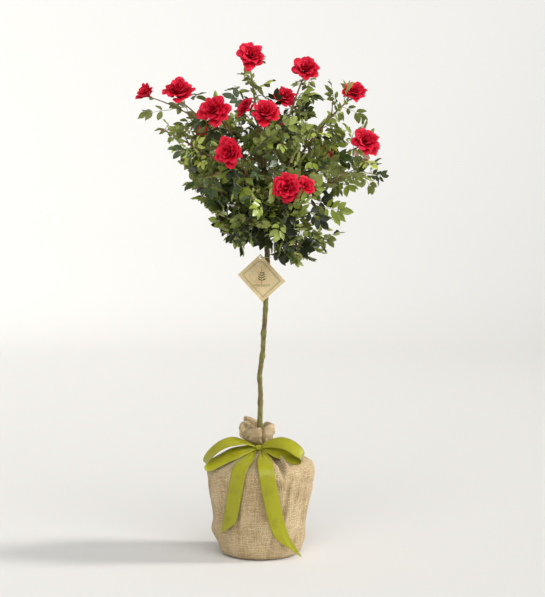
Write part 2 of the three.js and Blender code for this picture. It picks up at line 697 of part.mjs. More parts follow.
function boughSolid(shoot, grown) {
  const steps = 5;
  const points = curveRun(shoot.curve, 0, ELBOW, steps);
  const radii = points.map((_, i) => lerp(CANE_FOOT_RADIUS, CANE_ELBOW_RADIUS, i / steps) + grown);
  return solid(limb(points, radii, 5));
}

let taken = trunkRoom;
for (const shoot of canes) {
  add(`bough_${shoot.name}`, geometryOf(boughSolid(shoot, 0).subtract(taken)), cane);
  taken = taken.add(boughSolid(shoot, CLEAR));
}
for (const shoot of canes) add(`foliage_${shoot.name}`, massGeometry(shoot), foliage);

export default root;
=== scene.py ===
import math
from collections import namedtuple
from functools import lru_cache

import bmesh
import bpy
import numpy as np
from bpy.props import FloatProperty, FloatVectorProperty, IntProperty, PointerProperty
from mathutils import Matrix, Quaternion, Vector, noise


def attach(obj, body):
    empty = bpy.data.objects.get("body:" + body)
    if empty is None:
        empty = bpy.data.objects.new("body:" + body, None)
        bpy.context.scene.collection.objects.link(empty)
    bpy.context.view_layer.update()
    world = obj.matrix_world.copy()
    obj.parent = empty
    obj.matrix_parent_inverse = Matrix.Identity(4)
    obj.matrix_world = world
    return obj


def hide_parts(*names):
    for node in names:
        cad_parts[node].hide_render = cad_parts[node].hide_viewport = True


bl_info = {
    "name": "Standard Rose in a Burlap Sack",
    "version": (1, 0, 0),
    "blender": (4, 5, 0),
    "location": "3D View > Sidebar > Rose",
    "description": "Grows a standard rose in a sack tied with a ribbon, piece by piece",
    "category": "Object",
}

# The frame: a standard rose on a bare trunk in a burlap sack, with +Z up, the bow's side towards -Y and
# the origin in the middle of the sack's flat underside. Sizes are in millimetres until a mesh is made.
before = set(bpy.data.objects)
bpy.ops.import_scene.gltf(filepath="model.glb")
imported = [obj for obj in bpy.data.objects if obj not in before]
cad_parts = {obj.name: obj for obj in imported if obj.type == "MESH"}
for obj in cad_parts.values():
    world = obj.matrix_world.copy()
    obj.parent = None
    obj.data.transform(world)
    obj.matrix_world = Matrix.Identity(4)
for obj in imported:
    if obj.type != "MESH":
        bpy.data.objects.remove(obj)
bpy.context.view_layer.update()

MM = 0.001
UP = Vector((0, 0, 1))
FULL_TURN = 2 * math.pi
GOLDEN_ANGLE = 2.39996
SHADER = "Principled BSDF"
WAVE_SCALE = math.pi / 10  # a wave texture of this scale has one band to the unit
# The Mix node's inputs by number, as their names repeat: factor, two values, two colours. Then its output.
FACTOR, VALUE_A, VALUE_B, COLOUR_A, COLOUR_B, MIXED_COLOUR = 0, 2, 3, 6, 7, 2


def linear(hex_colour):
    """Linear red, green and blue of an sRGB hex colour."""
    parts = [int(hex_colour[i:i + 2], 16) / 255 for i in (1, 3, 5)]
    return tuple(c / 12.92 if c <= 0.04045 else ((c + 0.055) / 1.055) ** 2.4 for c in parts)


def length_property(name, description, default, low=0.0):
    return FloatProperty(name=name, description=description, default=default, min=low,
                         subtype="DISTANCE", unit="LENGTH")


def colour_property(name, description, hex_colour):
    return FloatVectorProperty(name=name, description=description, default=linear(hex_colour),
                               size=3, min=0, max=1, subtype="COLOR")


# ---------------------------------------------------------------- properties

class ClothSettings(bpy.types.PropertyGroup):
    """Sizes and colours of the sack, the ribbon and the tag."""
    thread_spacing: length_property(
        "Thread Spacing", "Distance from thread to thread of the burlap", 0.0029)
    burlap_thickness: length_property("Burlap Thickness", "Thickness of the sack's cloth", 0.0011)
    burlap_light: colour_property("Burlap Light", "Straw colour of the raised threads", "#dec9a0")
    burlap_dark: colour_property("Burlap Dark", "Brown of the slubs and older threads", "#b0966a")
    burlap_gap: colour_property("Burlap Gap", "Shade between the threads", "#6b4d26")
    ribbon_width: length_property("Ribbon Width", "Width of the ribbon", 0.032)
    ribbon_thickness: length_property("Ribbon Thickness", "Thickness of the ribbon", 0.0005)
    ribbon_face: colour_property("Ribbon Face", "Colour of the satin", "#97950e")
    # Ribbon Fold is a darker satin colour that paints shade in soft random patches, and also colours the
    # woven edges.
    ribbon_painted_shade_and_edge: colour_property("Ribbon Fold", "Colour where the satin turns away", "#7f780e")
    card_face: colour_property("Card Face", "Colour of the kraft card", "#f3e0b2")
    card_fleck: colour_property("Card Fleck", "Colour of the fibres in the card", "#cfb27e")
    ink: colour_property("Ink", "Colour of the tag's print", "#54412b")
    twine: colour_property("Twine", "Colour of the tag's tie", "#cfc19c")


class PlantSettings(bpy.types.PropertyGroup):
    """Sizes and colours of the trunk, canes, leaves and blooms."""
    twigs: IntProperty(name="Twigs", description="Twigs tried along each cane", default=17, min=1)
    seed: IntProperty(name="Seed", description="Seed of the small irregularities", default=7)
    leaflet_length: length_property("Leaflet Length", "From a leaflet's foot to its tip", 0.0246)
    twig_radius: length_property("Twig Radius", "Radius at the foot of a twig", 0.00125)
    node_spacing: length_property("Node Spacing", "Distance between leaves on a twig", 0.0155)
    bark_green: colour_property("Bark Green", "Green skin of the trunk", "#7b7a3c")
    bark_brown: colour_property("Bark Brown", "Brown corky bark and scars", "#6a4a30")
    cane_green: colour_property("Cane Green", "Skin of the canes and twigs", "#6b6a34")
    cane_red: colour_property("Cane Red", "Sunned skin of the canes", "#7a4632")
    # Leaf Deep, Leaf Green, Leaf Olive and Leaf Bright run from dark to light and paint shade and light on
    # the crown: the darker tints go inside it and the lighter ones towards its outside and top, by place and
    # chance, not by a leaf's age.
    leaf_deep: colour_property("Leaf Deep", "Oldest leaves, inside the crown", "#1d2607")
    leaf_green: colour_property("Leaf Green", "Full-grown leaves", "#31410f")
    leaf_olive: colour_property("Leaf Olive", "Leaves in the light", "#7c8a2e")
    leaf_bright: colour_property("Leaf Bright", "Young green leaves", "#b2bb5a")
    leaf_young: colour_property("Leaf Young", "Bronze leaves of new shoots", "#7d5a40")
    leaf_under: colour_property("Leaf Underside", "Pale undersides of the leaves", "#8b9350")
    petal: colour_property("Petal", "Scarlet of the petals", "#ca0521")
    # Petal Fold is a darker crimson that paints shade on the petals' faces, in random patches.
    petal_painted_shade: colour_property("Petal Fold", "Crimson deep in the blooms", "#8e0218")
    # Petal Back is the paler pink of the petals' backs, and also a painted highlight along their rims.
    petal_back: colour_property("Petal Back", "Backs of the petals", "#d62444")
    sepal: colour_property("Sepal", "Green of sepals and buds", "#75843f")


class StageSettings(bpy.types.PropertyGroup):
    """The floor and the light."""
    floor: colour_property("Floor", "Colour of the floor", "#dcdad7")
    backdrop: colour_property("Backdrop", "Colour of the paper where it rises", "#bcbbb8")
    # The backdrop's glow is painted light: the paper gives off light of its own where it rises.
    backdrop_painted_glow: FloatProperty(name="Backdrop Glow", description="Light through the paper from behind",
                                 default=0.22, min=0)
    key_strength: FloatProperty(name="Key Light", description="Strength of the low light on the right",
                                default=2.9, min=0)
    front_strength: FloatProperty(name="Front Light", description="Strength of the broad light in front",
                                  default=2.2, min=0)
    sky_strength: FloatProperty(name="Sky", description="Strength of the even light all round",
                                default=0.38, min=0)


# ---------------------------------------------------------------- helpers

def chance(*keys):
    """A repeatable number from 0 to 1 for a set of whole-number keys."""
    mix = 2166136261
    for key in keys:
        mix = ((mix ^ (key + 1)) * 16777619) & 0xFFFFFFFF
        mix = ((mix ^ (mix >> 15)) * 2246822519) & 0xFFFFFFFF
        mix ^= mix >> 13
    return mix / 4294967296


def lerp(low, high, share):
    return low + (high - low) * share


def along(pairs, at):
    """Straight-line reading of a list of (at, value) pairs."""
    return float(np.interp(at, [pair[0] for pair in pairs], [pair[1] for pair in pairs]))


def taper(thick, thin, steps):
    """Radii from the foot of a limb to its tip."""
    return [lerp(thick, thin, i / steps) for i in range(steps + 1)]


def bell(at, middle, width):
    """A rise to one round a middle."""
    return math.exp(-(((at - middle) / width) ** 2))


def lobe(angle, degrees, power):
    """A rise to one round a bearing, the narrower the higher its power."""
    return max(0, math.cos(angle - math.radians(degrees))) ** power


def places_across(columns):
    """Even places over a strip's width, from -1 to 1."""
    return [2 * column / (columns - 1) - 1 for column in range(columns)]


def polar(radius, turn, height=0.0):
    """A point at a distance from the Z axis, a turn about it and a height."""
    return Vector((radius * math.cos(turn), radius * math.sin(turn), height))


def sideways(heading, turn):
    """A unit vector square to another one, turned round it."""
    level = heading.cross(UP)
    if level.length < 0.05:
        level = Vector((1, 0, 0))
    level.normalize()
    steep = level.cross(heading).normalized()
    return level * math.cos(turn) + steep * math.sin(turn)


def new_piece(name, points, faces=(), edges=(), uv=None, smooth=True):
    """An object from points in metres. uv holds one pair for each point."""
    mesh = bpy.data.meshes.new(name)
    mesh.from_pydata([tuple(p) for p in points], [tuple(e) for e in edges], [tuple(f) for f in faces])
    if uv is not None:
        layer = mesh.uv_layers.new(name="flat_cloth")
        corners = np.zeros(len(mesh.loops), np.int32)
        mesh.loops.foreach_get("vertex_index", corners)
        layer.data.foreach_set("uv", np.asarray(uv, np.float32)[corners].ravel())
    if smooth and len(mesh.polygons):
        mesh.polygons.foreach_set("use_smooth", [True] * len(mesh.polygons))
    mesh.update()
    piece = bpy.data.objects.new(name, mesh)
    bpy.context.scene.collection.objects.link(piece)
    return piece


def grid_faces(rows, columns, closed=False, start=0):
    """Quads of a grid of points, row by row. A closed grid joins its last column to its first."""
    faces = []
    for row in range(rows - 1):
        for column in range(columns if closed else columns - 1):
            after = (column + 1) % columns
            a, b = start + row * columns + column, start + row * columns + after
            faces.append((a, b, b + columns, a + columns))
    return faces


def add_node(tree, kind, settings=(), links=()):
    """Adds a node, with its settings, and its inputs set to a value or linked to a socket or a node's
    first output. A ramp's "stops" are its (place, colour) pairs."""
    made = tree.nodes.new(kind)
    for name, value in dict(settings).items():
        if name == "stops":
            for stop, (place, colour) in zip(made.color_ramp.elements, value):
                stop.position, stop.color = place, opaque(colour)
        else:
            setattr(made, name, value)
    for key, value in dict(links).items():
        socket = made.inputs[key]
        if isinstance(value, bpy.types.Node):
            value = value.outputs[0]
        if isinstance(value, bpy.types.NodeSocket):
            tree.links.new(value, socket)
        else:
            socket.default_value = value
    return made


def opaque(colour):
    """A colour with full alpha, as a node's socket takes it."""
    return (*colour[:3], 1.0)


def new_material(name, surface, uv=False):
    """A material with its uniform values on the shader's own sockets, its tree, and the coordinates that
    its texture lies in: the object's own or, with uv, those of the flat cloth."""
    material = bpy.data.materials.new(name)
    material.use_nodes = True
    tree = material.node_tree
    for socket, value in surface.items():
        tree.nodes[SHADER].inputs[socket].default_value = value
    if uv:
        return material, tree, add_node(tree, "ShaderNodeUVMap", {"uv_map": "flat_cloth"}).outputs["UV"]
    return material, tree, add_node(tree, "ShaderNodeTexCoord").outputs["Object"]


def finish_shader(material, colour, grain, rough, relief, height=None):
    """Links a material's colour. A grain varies its roughness and, unless another height does, raises its
    relief, given as (strength, height)."""
    tree = material.node_tree
    dull = add_node(tree, "ShaderNodeMapRange", links={
        "Value": grain, "To Min": rough[0], "To Max": rough[1]})
    bump = add_node(tree, "ShaderNodeBump", links={
        "Strength": relief[0], "Distance": relief[1], "Height": height or grain})
    for socket, source in ("Base Color", colour), ("Roughness", dull.outputs[0]), ("Normal", bump.outputs[0]):
        tree.links.new(source, tree.nodes[SHADER].inputs[socket])
    return material


def mottled_material(name, surface, tones, stops, tone, grain, rough, relief):
    """A skin in patches of two tones, with a finer grain in its gloss and its relief. tone and grain are
    the (scale, detail, roughness) of their noise."""
    material, tree, place = new_material(name, surface)
    patches, specks = [add_node(tree, "ShaderNodeTexNoise", links={
        "Vector": place, "Scale": scale, "Detail": detail, "Roughness": uneven})
        for scale, detail, uneven in (tone, grain)]
    colour = add_node(tree, "ShaderNodeValToRGB", {"stops": list(zip(stops, tones))}, {"Fac": patches})
    return finish_shader(material, colour.outputs[0], specks, rough, relief)


def shades_of(colour, low, high):
    return [[c * share for c in colour[:3]] for share in (low, high)]


def finish_piece(piece, nodes=(), material=None):
    """Hands a piece its material, the body it rides on and the solids it stands for."""
    if material:
        piece.data.materials.clear()
        piece.data.materials.append(material)
    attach(piece, "root")
    if nodes:
        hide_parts(*nodes)
    return piece


# ---------------------------------------------------------------- node trees that grow pieces

def new_tree(name, sockets, read=()):
    """A geometry tree with named inputs, given as (name, kind, default), and the sockets of the attributes
    that it reads from its points, given as (name, kind)."""
    tree = bpy.data.node_groups.new(name, "GeometryNodeTree")
    tree.interface.new_socket("Geometry", in_out="INPUT", socket_type="NodeSocketGeometry")
    for label, kind, default in sockets:
        socket = tree.interface.new_socket(label, in_out="INPUT", socket_type="NodeSocket" + kind)
        if default is not None:
            socket.default_value = default
    tree.interface.new_socket("Geometry", in_out="OUTPUT", socket_type="NodeSocketGeometry")
    carried = [add_node(tree, "GeometryNodeInputNamedAttribute", {"data_type": kind},
                        {"Name": label}).outputs["Attribute"] for label, kind in read]
    return (tree, add_node(tree, "NodeGroupInput").outputs, *carried)


def shifted(tree, shape, way, distance):
    """A shape with its points moved by a distance along a way, shaded smooth."""
    shift = add_node(tree, "ShaderNodeVectorMath", {"operation": "SCALE"}, {"Vector": way, "Scale": distance})
    moved = add_node(tree, "GeometryNodeSetPosition", links={"Geometry": shape, "Offset": shift})
    return add_node(tree, "GeometryNodeSetShadeSmooth", links={"Geometry": moved})


@lru_cache(maxsize=None)
def limb_tree():
    """Round tapering limbs along lines of points that carry their own radius, with a rough skin."""
    tree, given, radius = new_tree("tapering_limbs", [
        ("Sides", "Int", 8), ("Relief", "Float", 0.0), ("Relief Scale", "Float", 200.0), ("Seed", "Int", 7),
        ("Material", "Material", None)], [("radius_here", "FLOAT")])
    line = add_node(tree, "GeometryNodeMeshToCurve", links={"Mesh": given["Geometry"]})
    ring = add_node(tree, "GeometryNodeCurvePrimitiveCircle", links={
        "Resolution": given["Sides"], "Radius": 1.0})
    tube = add_node(tree, "GeometryNodeCurveToMesh", links={
        "Curve": line, "Profile Curve": ring.outputs["Curve"], "Scale": radius, "Fill Caps": True})
    rough = add_node(tree, "ShaderNodeTexNoise", {"noise_dimensions": "4D"}, {
        "Scale": given["Relief Scale"], "Detail": 3.0, "W": given["Seed"]})
    level = add_node(tree, "ShaderNodeMath", {"operation": "SUBTRACT"}, {0: rough, 1: 0.5})
    height = add_node(tree, "ShaderNodeMath", {"operation": "MULTIPLY"}, {0: level, 1: given["Relief"]})
    whole = add_node(tree, "GeometryNodeRealizeInstances", links={
        "Geometry": shifted(tree, tube, add_node(tree, "GeometryNodeInputNormal"), height)})
    painted = add_node(tree, "GeometryNodeSetMaterial", links={
        "Geometry": whole, "Material": given["Material"]})
    add_node(tree, "NodeGroupOutput", links={"Geometry": painted})
    return tree


@lru_cache(maxsize=None)
def spray_tree():
    """One thin shape set on every point, turned and sized as the point says, then ruffled in place."""
    tree, given, turn, size, loose, under = new_tree("sprays_of_one_shape", [
        ("Shape", "Object", None), ("Size", "Float", 1.0), ("Size Spread", "Float", 0.08),
        ("Ruffle", "Float", 0.0), ("Ruffle Scale", "Float", 90.0), ("Seed", "Int", 7),
        ("Material", "Material", None), ("Underside Material", "Material", None)],
        [("turn_here", "QUATERNION"), ("size_here", "FLOAT_VECTOR"), ("loose_here", "FLOAT"),
         ("underside", "BOOLEAN")])
    shape = add_node(tree, "GeometryNodeObjectInfo", links={"Object": given["Shape"]})
    least, most = [add_node(tree, "ShaderNodeMath", {"operation": operation}, {
        0: 1.0, 1: given["Size Spread"]}) for operation in ("SUBTRACT", "ADD")]
    spread = add_node(tree, "FunctionNodeRandomValue", {"data_type": "FLOAT"},
                      {2: least, 3: most, "Seed": given["Seed"]})
    factor = add_node(tree, "ShaderNodeMath", {"operation": "MULTIPLY"}, {
        0: spread.outputs[1], 1: given["Size"]})
    scale = add_node(tree, "ShaderNodeVectorMath", {"operation": "SCALE"}, {"Vector": size, "Scale": factor})
    copies = add_node(tree, "GeometryNodeInstanceOnPoints", links={
        "Points": given["Geometry"], "Instance": shape.outputs["Geometry"], "Rotation": turn, "Scale": scale})
    whole = add_node(tree, "GeometryNodeRealizeInstances", links={"Geometry": copies})
    rough = add_node(tree, "ShaderNodeTexNoise", {"noise_dimensions": "4D"}, {
        "Scale": given["Ruffle Scale"], "Detail": 1.0, "W": given["Seed"]})
    level = add_node(tree, "ShaderNodeVectorMath", {"operation": "SUBTRACT"}, {
        0: rough.outputs["Color"], 1: (0.5, 0.5, 0.5)})
    reach = add_node(tree, "ShaderNodeMath", {"operation": "MULTIPLY"}, {0: loose, 1: given["Ruffle"]})
    upper = add_node(tree, "GeometryNodeSetMaterial", links={
        "Geometry": shifted(tree, whole, level, reach), "Material": given["Material"]})
    painted = add_node(tree, "GeometryNodeSetMaterial", links={
        "Geometry": upper, "Selection": under, "Material": given["Underside Material"]})
    add_node(tree, "NodeGroupOutput", links={"Geometry": painted})
    return tree


def set_values(piece, name, kind, values, domain="POINT"):
    """Gives the points or faces of a piece values that a tree reads by name."""
    attribute = piece.data.attributes.new(name, kind, domain)
    attribute.data.foreach_set("vector" if kind == "FLOAT_VECTOR" else "value", values)


def grow_piece(carrier, tree, values, nodes=()):
    """Runs a carrier's mesh through a tree, keeps the result as its plain mesh and finishes the piece."""
    modifier = carrier.modifiers.new(tree.name, "NODES")
    modifier.node_group = tree
    for item in tree.interface.items_tree:
        if item.item_type == "SOCKET" and item.in_out == "INPUT" and item.name in values:
            modifier[item.identifier] = values[item.name]
    bpy.context.view_layer.update()
    graph = bpy.context.evaluated_depsgraph_get()
    mesh = bpy.data.meshes.new_from_object(carrier.evaluated_get(graph))
    carrier.modifiers.remove(modifier)
    bare = carrier.data
    carrier.data = mesh
    bpy.data.meshes.remove(bare)
    mesh.name = carrier.name
    for name in ("turn_here", "size_here", "loose_here", "radius_here", "underside"):
        if name in mesh.attributes:
            mesh.attributes.remove(mesh.attributes[name])
    finish_piece(carrier, nodes)


def limbs_piece(name, lines, values, nodes=()):
    """A piece of round limbs. Each line is (points in millimetres, radii in millimetres)."""
    points, edges, radii = [], [], []
    for line, girths in lines:
        first = len(points)
        points += [p * MM for p in line]
        radii += [g * MM for g in girths]
        edges += [(first + i, first + i + 1) for i in range(len(line) - 1)]
    carrier = new_piece(name, points, edges=edges)
    set_values(carrier, "radius_here", "FLOAT", radii)
    grow_piece(carrier, limb_tree(), values, nodes)


def spray_piece(name, shape, spots, skins, values, nodes=()):
    """A piece of copies of a shape, each at a spot (place in millimetres, turn, size in millimetres), in
    the skins of its upper and its under side."""
    carrier = new_piece(name, [place * MM for place, _, _ in spots])
    set_values(carrier, "turn_here", "QUATERNION", [c for _, turn, _ in spots for c in turn])
    set_values(carrier, "size_here", "FLOAT_VECTOR", [c * MM for _, _, size in spots for c in size])
    grow_piece(carrier, spray_tree(), {
        **values, "Shape": shape, "Material": skins[0], "Underside Material": skins[1]}, nodes)
    bpy.data.objects.remove(shape)


def thin_shape(name, upper, under, faces, looseness, rim=0):
    """A closed thin shape of an upper and an under side that share their outline, one unit long.

    upper and under are lists of points, under holding None where the outline is shared. The last rim faces of
    the upper side take the underside's colour, which on the petals paints a highlight along their rims."""
    points, below = list(upper), []
    for index, point in enumerate(under):
        below.append(index if point is None else len(points))
        if point is not None:
            points.append(point)
    flipped = [tuple(below[i] for i in reversed(face)) for face in faces]
    shape = new_piece(name, points, list(faces) + flipped)
    set_values(shape, "underside", "BOOLEAN",
               [False] * (len(faces) - rim) + [True] * (len(flipped) + rim), "FACE")
    ends = [{tuple(sorted((f[i - 1], f[i]))) for f in side for i in range(len(f))}
            for side in (faces, flipped)]
    for edge in shape.data.edges:
        edge.use_edge_sharp = all(tuple(sorted(edge.vertices)) in side for side in ends)
    set_values(shape, "loose_here", "FLOAT",
               list(looseness) + [looseness[i] for i, p in enumerate(under) if p is not None])
    return shape


def turn_to(heading, normal):
    """The turn that takes +X to a heading and +Z to the part of a normal square to it."""
    forward = heading.normalized()
    upward = (normal - forward * normal.dot(forward)).normalized()
    left = upward.cross(forward)
    return Matrix((forward, left, upward)).transposed().to_quaternion()


# ---------------------------------------------------------------- the plant's rule of growth

SOIL_HEIGHT = 165
HEAD_LOW, HEAD_TOP, HEAD_X, HEAD_RADIUS = 642, 716, 10, 9
BUD_EYE_STEP = 47
FOOT_RADIUS, TRUNK_RADIUS = 7.5, 5
# A bough runs to its elbow, a share of the whole cane, and the cane arches by a share of its length.
ELBOW, CANE_ARCH, TWIG_ARCH = 0.3, 0.16, 0.1
CANE_FOOT_RADIUS, CANE_ELBOW_RADIUS, CANE_TIP_RADIUS = 4.2, 2.9, 1.3
STALK_RADII, TWIG_TAPER = (1.7, 1.2), 0.55
# A second bloom's stalk leaves the cane at this share, and a bloom's cup ends this far below its middle.
FORK, CUP_DEPTH = 0.66, 0.42
TWIG_LENGTH, INNER_TWIGS, INNER_SPILL = 68, 4, 45
LONG_TWIGS = {"front_left": 1.3, "front_right": 1.3, "low_front": 1.3, "top_front": 1.3,
              "back_left": 1.25, "back_middle": 1.25, "back_right": 1.25, "back_low": 1.25}

# Room that leaves keep free, in millimetres round the boughs and the trunk, and in shares of a bloom's
# radius round it and before it, as far as the view depth.
BOUGH_ROOM, TRUNK_ROOM, TRUNK_ROOM_FROM, TRUNK_ROOM_STEP = 3.5, 6, 490, 25
BLOOM_ROOM, VIEW_ROOM, VIEW_DEPTH = 0.95, 0.85, 90
FRONT_NOD, FRONT_WAY = -0.3, (0, -0.997, 0.08)
# How far a mass may reach into the next one, and how far it keeps off limbs, for its twigs and its leaves.
TWIG_FIT, LEAF_FIT = (14, 2), (16, 1)
# A compound leaf: from its foot to its middle and its tip, its half breadth, the least gap from one middle
# to the next, and how many of the latest leaves that is asked of.
LEAF_MIDDLE, LEAF_REACH, LEAF_HALF, LEAF_GAP, LEAVES_NEAR = 34, 62, 24, 12.5, 400
RACHIS = {2: 34, 3: 39}  # its length for two or three pairs of leaflets
SMALL_BLOOM, BUDDING_BLOOM = 30, 50
# Whole-number keys that keep the draws of stalks, inner twigs, leaves on the cane and its tip apart.
STALK_KEY, INNER_KEY, CANE_LEAF_KEY, TIP_KEY = 90, 60, 40, 70
# Masses where sunned tips are bronze, with the share of sprays that are. Elsewhere it is few of them.
BRONZE = {"left_high": 0.75, "left_middle": 0.25, "right_high": 0.3, "right_middle": 0.3, "upper_left": 0.2}
FEW_BRONZE = 0.04

# A bloom: its bearing, distance out and height, its breadth, and how far and towards what bearing it nods.
Flower = namedtuple("Flower", "bearing out height breadth nod towards")

# Canes: name, then the blooms, or the tip as (bearing, distance out, height).
CANES = [
    ("left_high", [(190, 175, 928, 57, 42, 262), (185, 236, 923, 29, 58, 232)]),
    ("left_middle", (187, 205, 852)),
    ("left_low", (198, 140, 742)),
    ("upper_left", [(221, 136, 891, 61, 72, 258)]),
    ("top_left", [(162, 31, 1003, 58, 66, 284)]),
    ("top_front", [(269, 80, 886, 56, 50, 275), (236, 74, 898, 43, 58, 215)]),
    ("top_right", [(14, 82, 978, 55, 58, 272), (46, 54, 922, 46, 54, 285)]),
    ("right_high", [(353, 177, 929, 48, 58, 278)]),
    ("right_middle", [(348, 201, 830, 57, 70, 282)]),
    ("right_low", (352, 200, 768)),
    ("front_right", [(285, 155, 740, 57, 84, 272), (299, 160, 744, 38, 78, 300)]),
    ("front_left", [(243, 157, 808, 57, 75, 255)]),
    ("low_right", (322, 96, 622)),
    ("low_left", (220, 106, 652)),
    ("low_front", (272, 98, 698)),
    ("back_left", [(135, 176, 850, 56, 50, 130)]),
    ("back_middle", [(84, 168, 872, 54, 48, 88)]),
    ("back_right", [(42, 180, 812, 56, 62, 45)]),
    ("back_low", [(102, 158, 724, 52, 76, 100)]),
    ("left_back", (161, 168, 772)),
]

TRUNK_LEAN = [(SOIL_HEIGHT, -1.5), (268, -2.2), (325, -1.2), (362, -3), (412, 3.9), (453, 5.9),
              (493, 8.9), (598, 12.6), (650, 11), (HEAD_TOP, HEAD_X)]
TRUNK_DEPTH = [(SOIL_HEIGHT, 0), (330, 1.5), (420, -1), (540, 0.5), (650, 0), (HEAD_TOP, 0)]
TRUNK_GIRTH = [(SOIL_HEIGHT, FOOT_RADIUS), (215, 6.2), (270, 5.6), (330, TRUNK_RADIUS), (600, 5.2),
               (HEAD_LOW, 6.4), (HEAD_LOW + 18, HEAD_RADIUS), (HEAD_TOP - 12, HEAD_RADIUS), (HEAD_TOP, 6)]
CROWN_FLOOR = [(0, 640), (40, 622), (72, 590), (88, 574), (112, 580), (150, 615), (240, 680),
               (272, 780), (278, 860)]
CROWN_ROOF = [(0, 1030), (90, 1006), (175, 958), (240, 938), (270, 905), (278, 860)]
CROWN_REACH, CROWN_DEPTH = 270, 226
# How far the crown reaches to its two sides at each height, and where its close foliage ends at the top:
# above that line only the long flowering shoots stand, with a few leaves.
CROWN_LEFT = [(575, 40), (592, 10), (620, -50), (640, -74), (680, -108), (713, -124), (773, -164),
              (819, -176), (838, -196), (852, -246), (905, -250), (930, -215), (960, -60), (1000, -30)]
CROWN_RIGHT = [(570, 66), (590, 118), (620, 156), (680, 166), (692, 222), (713, 236), (773, 266),
               (850, 270), (930, 262), (960, 140), (1000, 70)]
CLOSE_TOP = [(-230, 846), (-170, 850), (-120, 866), (-60, 880), (0, 892), (60, 905), (120, 915),
             (200, 925), (270, 905)]
CROWN_MIDDLE = Vector((HEAD_X, 0, 770))


def trunk_middle(height):
    return Vector((along(TRUNK_LEAN, height), along(TRUNK_DEPTH, height), height))


def trunk_radius(height):
    eye = (height / BUD_EYE_STEP) % 1
    return along(TRUNK_GIRTH, height) + (0.7 * bell(eye, 0.5, 0.12) if height < HEAD_LOW else 0)


def around(bearing, out, height):
    """A point at a bearing and distance from the head's axis, and at a height."""
    turn = math.radians(bearing)
    return Vector((HEAD_X + out * math.cos(turn), out * math.sin(turn), height))


def facing(flower):
    """The way a bloom faces."""
    tilt = math.radians(flower.nod)
    return polar(math.sin(tilt), math.radians(flower.towards), math.cos(tilt))


def bloom_middle(flower):
    return around(flower.bearing, flower.out, flower.height)


def cup_foot(flower):
    """The foot of a bloom's cup, where its stalk ends."""
    return bloom_middle(flower) - facing(flower) * CUP_DEPTH * flower.breadth


def arched(start, end, arch):
    """A curve from a start to an end, that stands above the straight line by a share of its length."""
    return (start, start.lerp(end, 0.5) + UP * arch * (end - start).length, end)


def curve_point(curve, t):
    foot, bend, tip = curve
    return foot * (1 - t) ** 2 + bend * 2 * t * (1 - t) + tip * t * t


def curve_way(curve, t):
    foot, bend, tip = curve
    return ((bend - foot) * (1 - t) + (tip - bend) * t).normalized()


def curve_run(curve, start, end, steps):
    return [curve_point(curve, lerp(start, end, i / steps)) for i in range(steps + 1)]


def steepness(aim):
    """How steeply a cane rises to its aim, or to its first bloom."""
    out, height = (aim[0] if isinstance(aim, list) else aim)[1:3]
    return (height - HEAD_LOW) / out


def shoots():
    """The canes as dicts with their curve, their blooms and the curves of the second blooms' stalks."""
    ranked = sorted(CANES, key=lambda cane: steepness(cane[1]))
    made = []
    for key, cane in enumerate(CANES):
        name, aim = cane
        blooms = [Flower(*bloom) for bloom in aim] if isinstance(aim, list) else []
        foot = trunk_middle(lerp(HEAD_LOW + 10, HEAD_TOP - 8, ranked.index(cane) / (len(CANES) - 1)))
        curve = arched(foot, cup_foot(blooms[0]) if blooms else around(*aim), CANE_ARCH)
        fork = curve_point(curve, FORK)
        stalks = [arched(fork, cup_foot(flower), TWIG_ARCH) for flower in blooms[1:]]
        made.append({"key": key, "name": name, "curve": curve, "blooms": blooms, "stalks": stalks})
    return made


def light_side(point, heading, jitter):
    """The side of a leaf that faces the light: up and away from the crown's middle."""
    outward = (point - CROWN_MIDDLE).normalized()
    normal = UP * 0.65 + outward * 0.5 + sideways(heading, jitter * 2 * math.pi) * 0.9
    return (normal - heading * normal.dot(heading)).normalized()


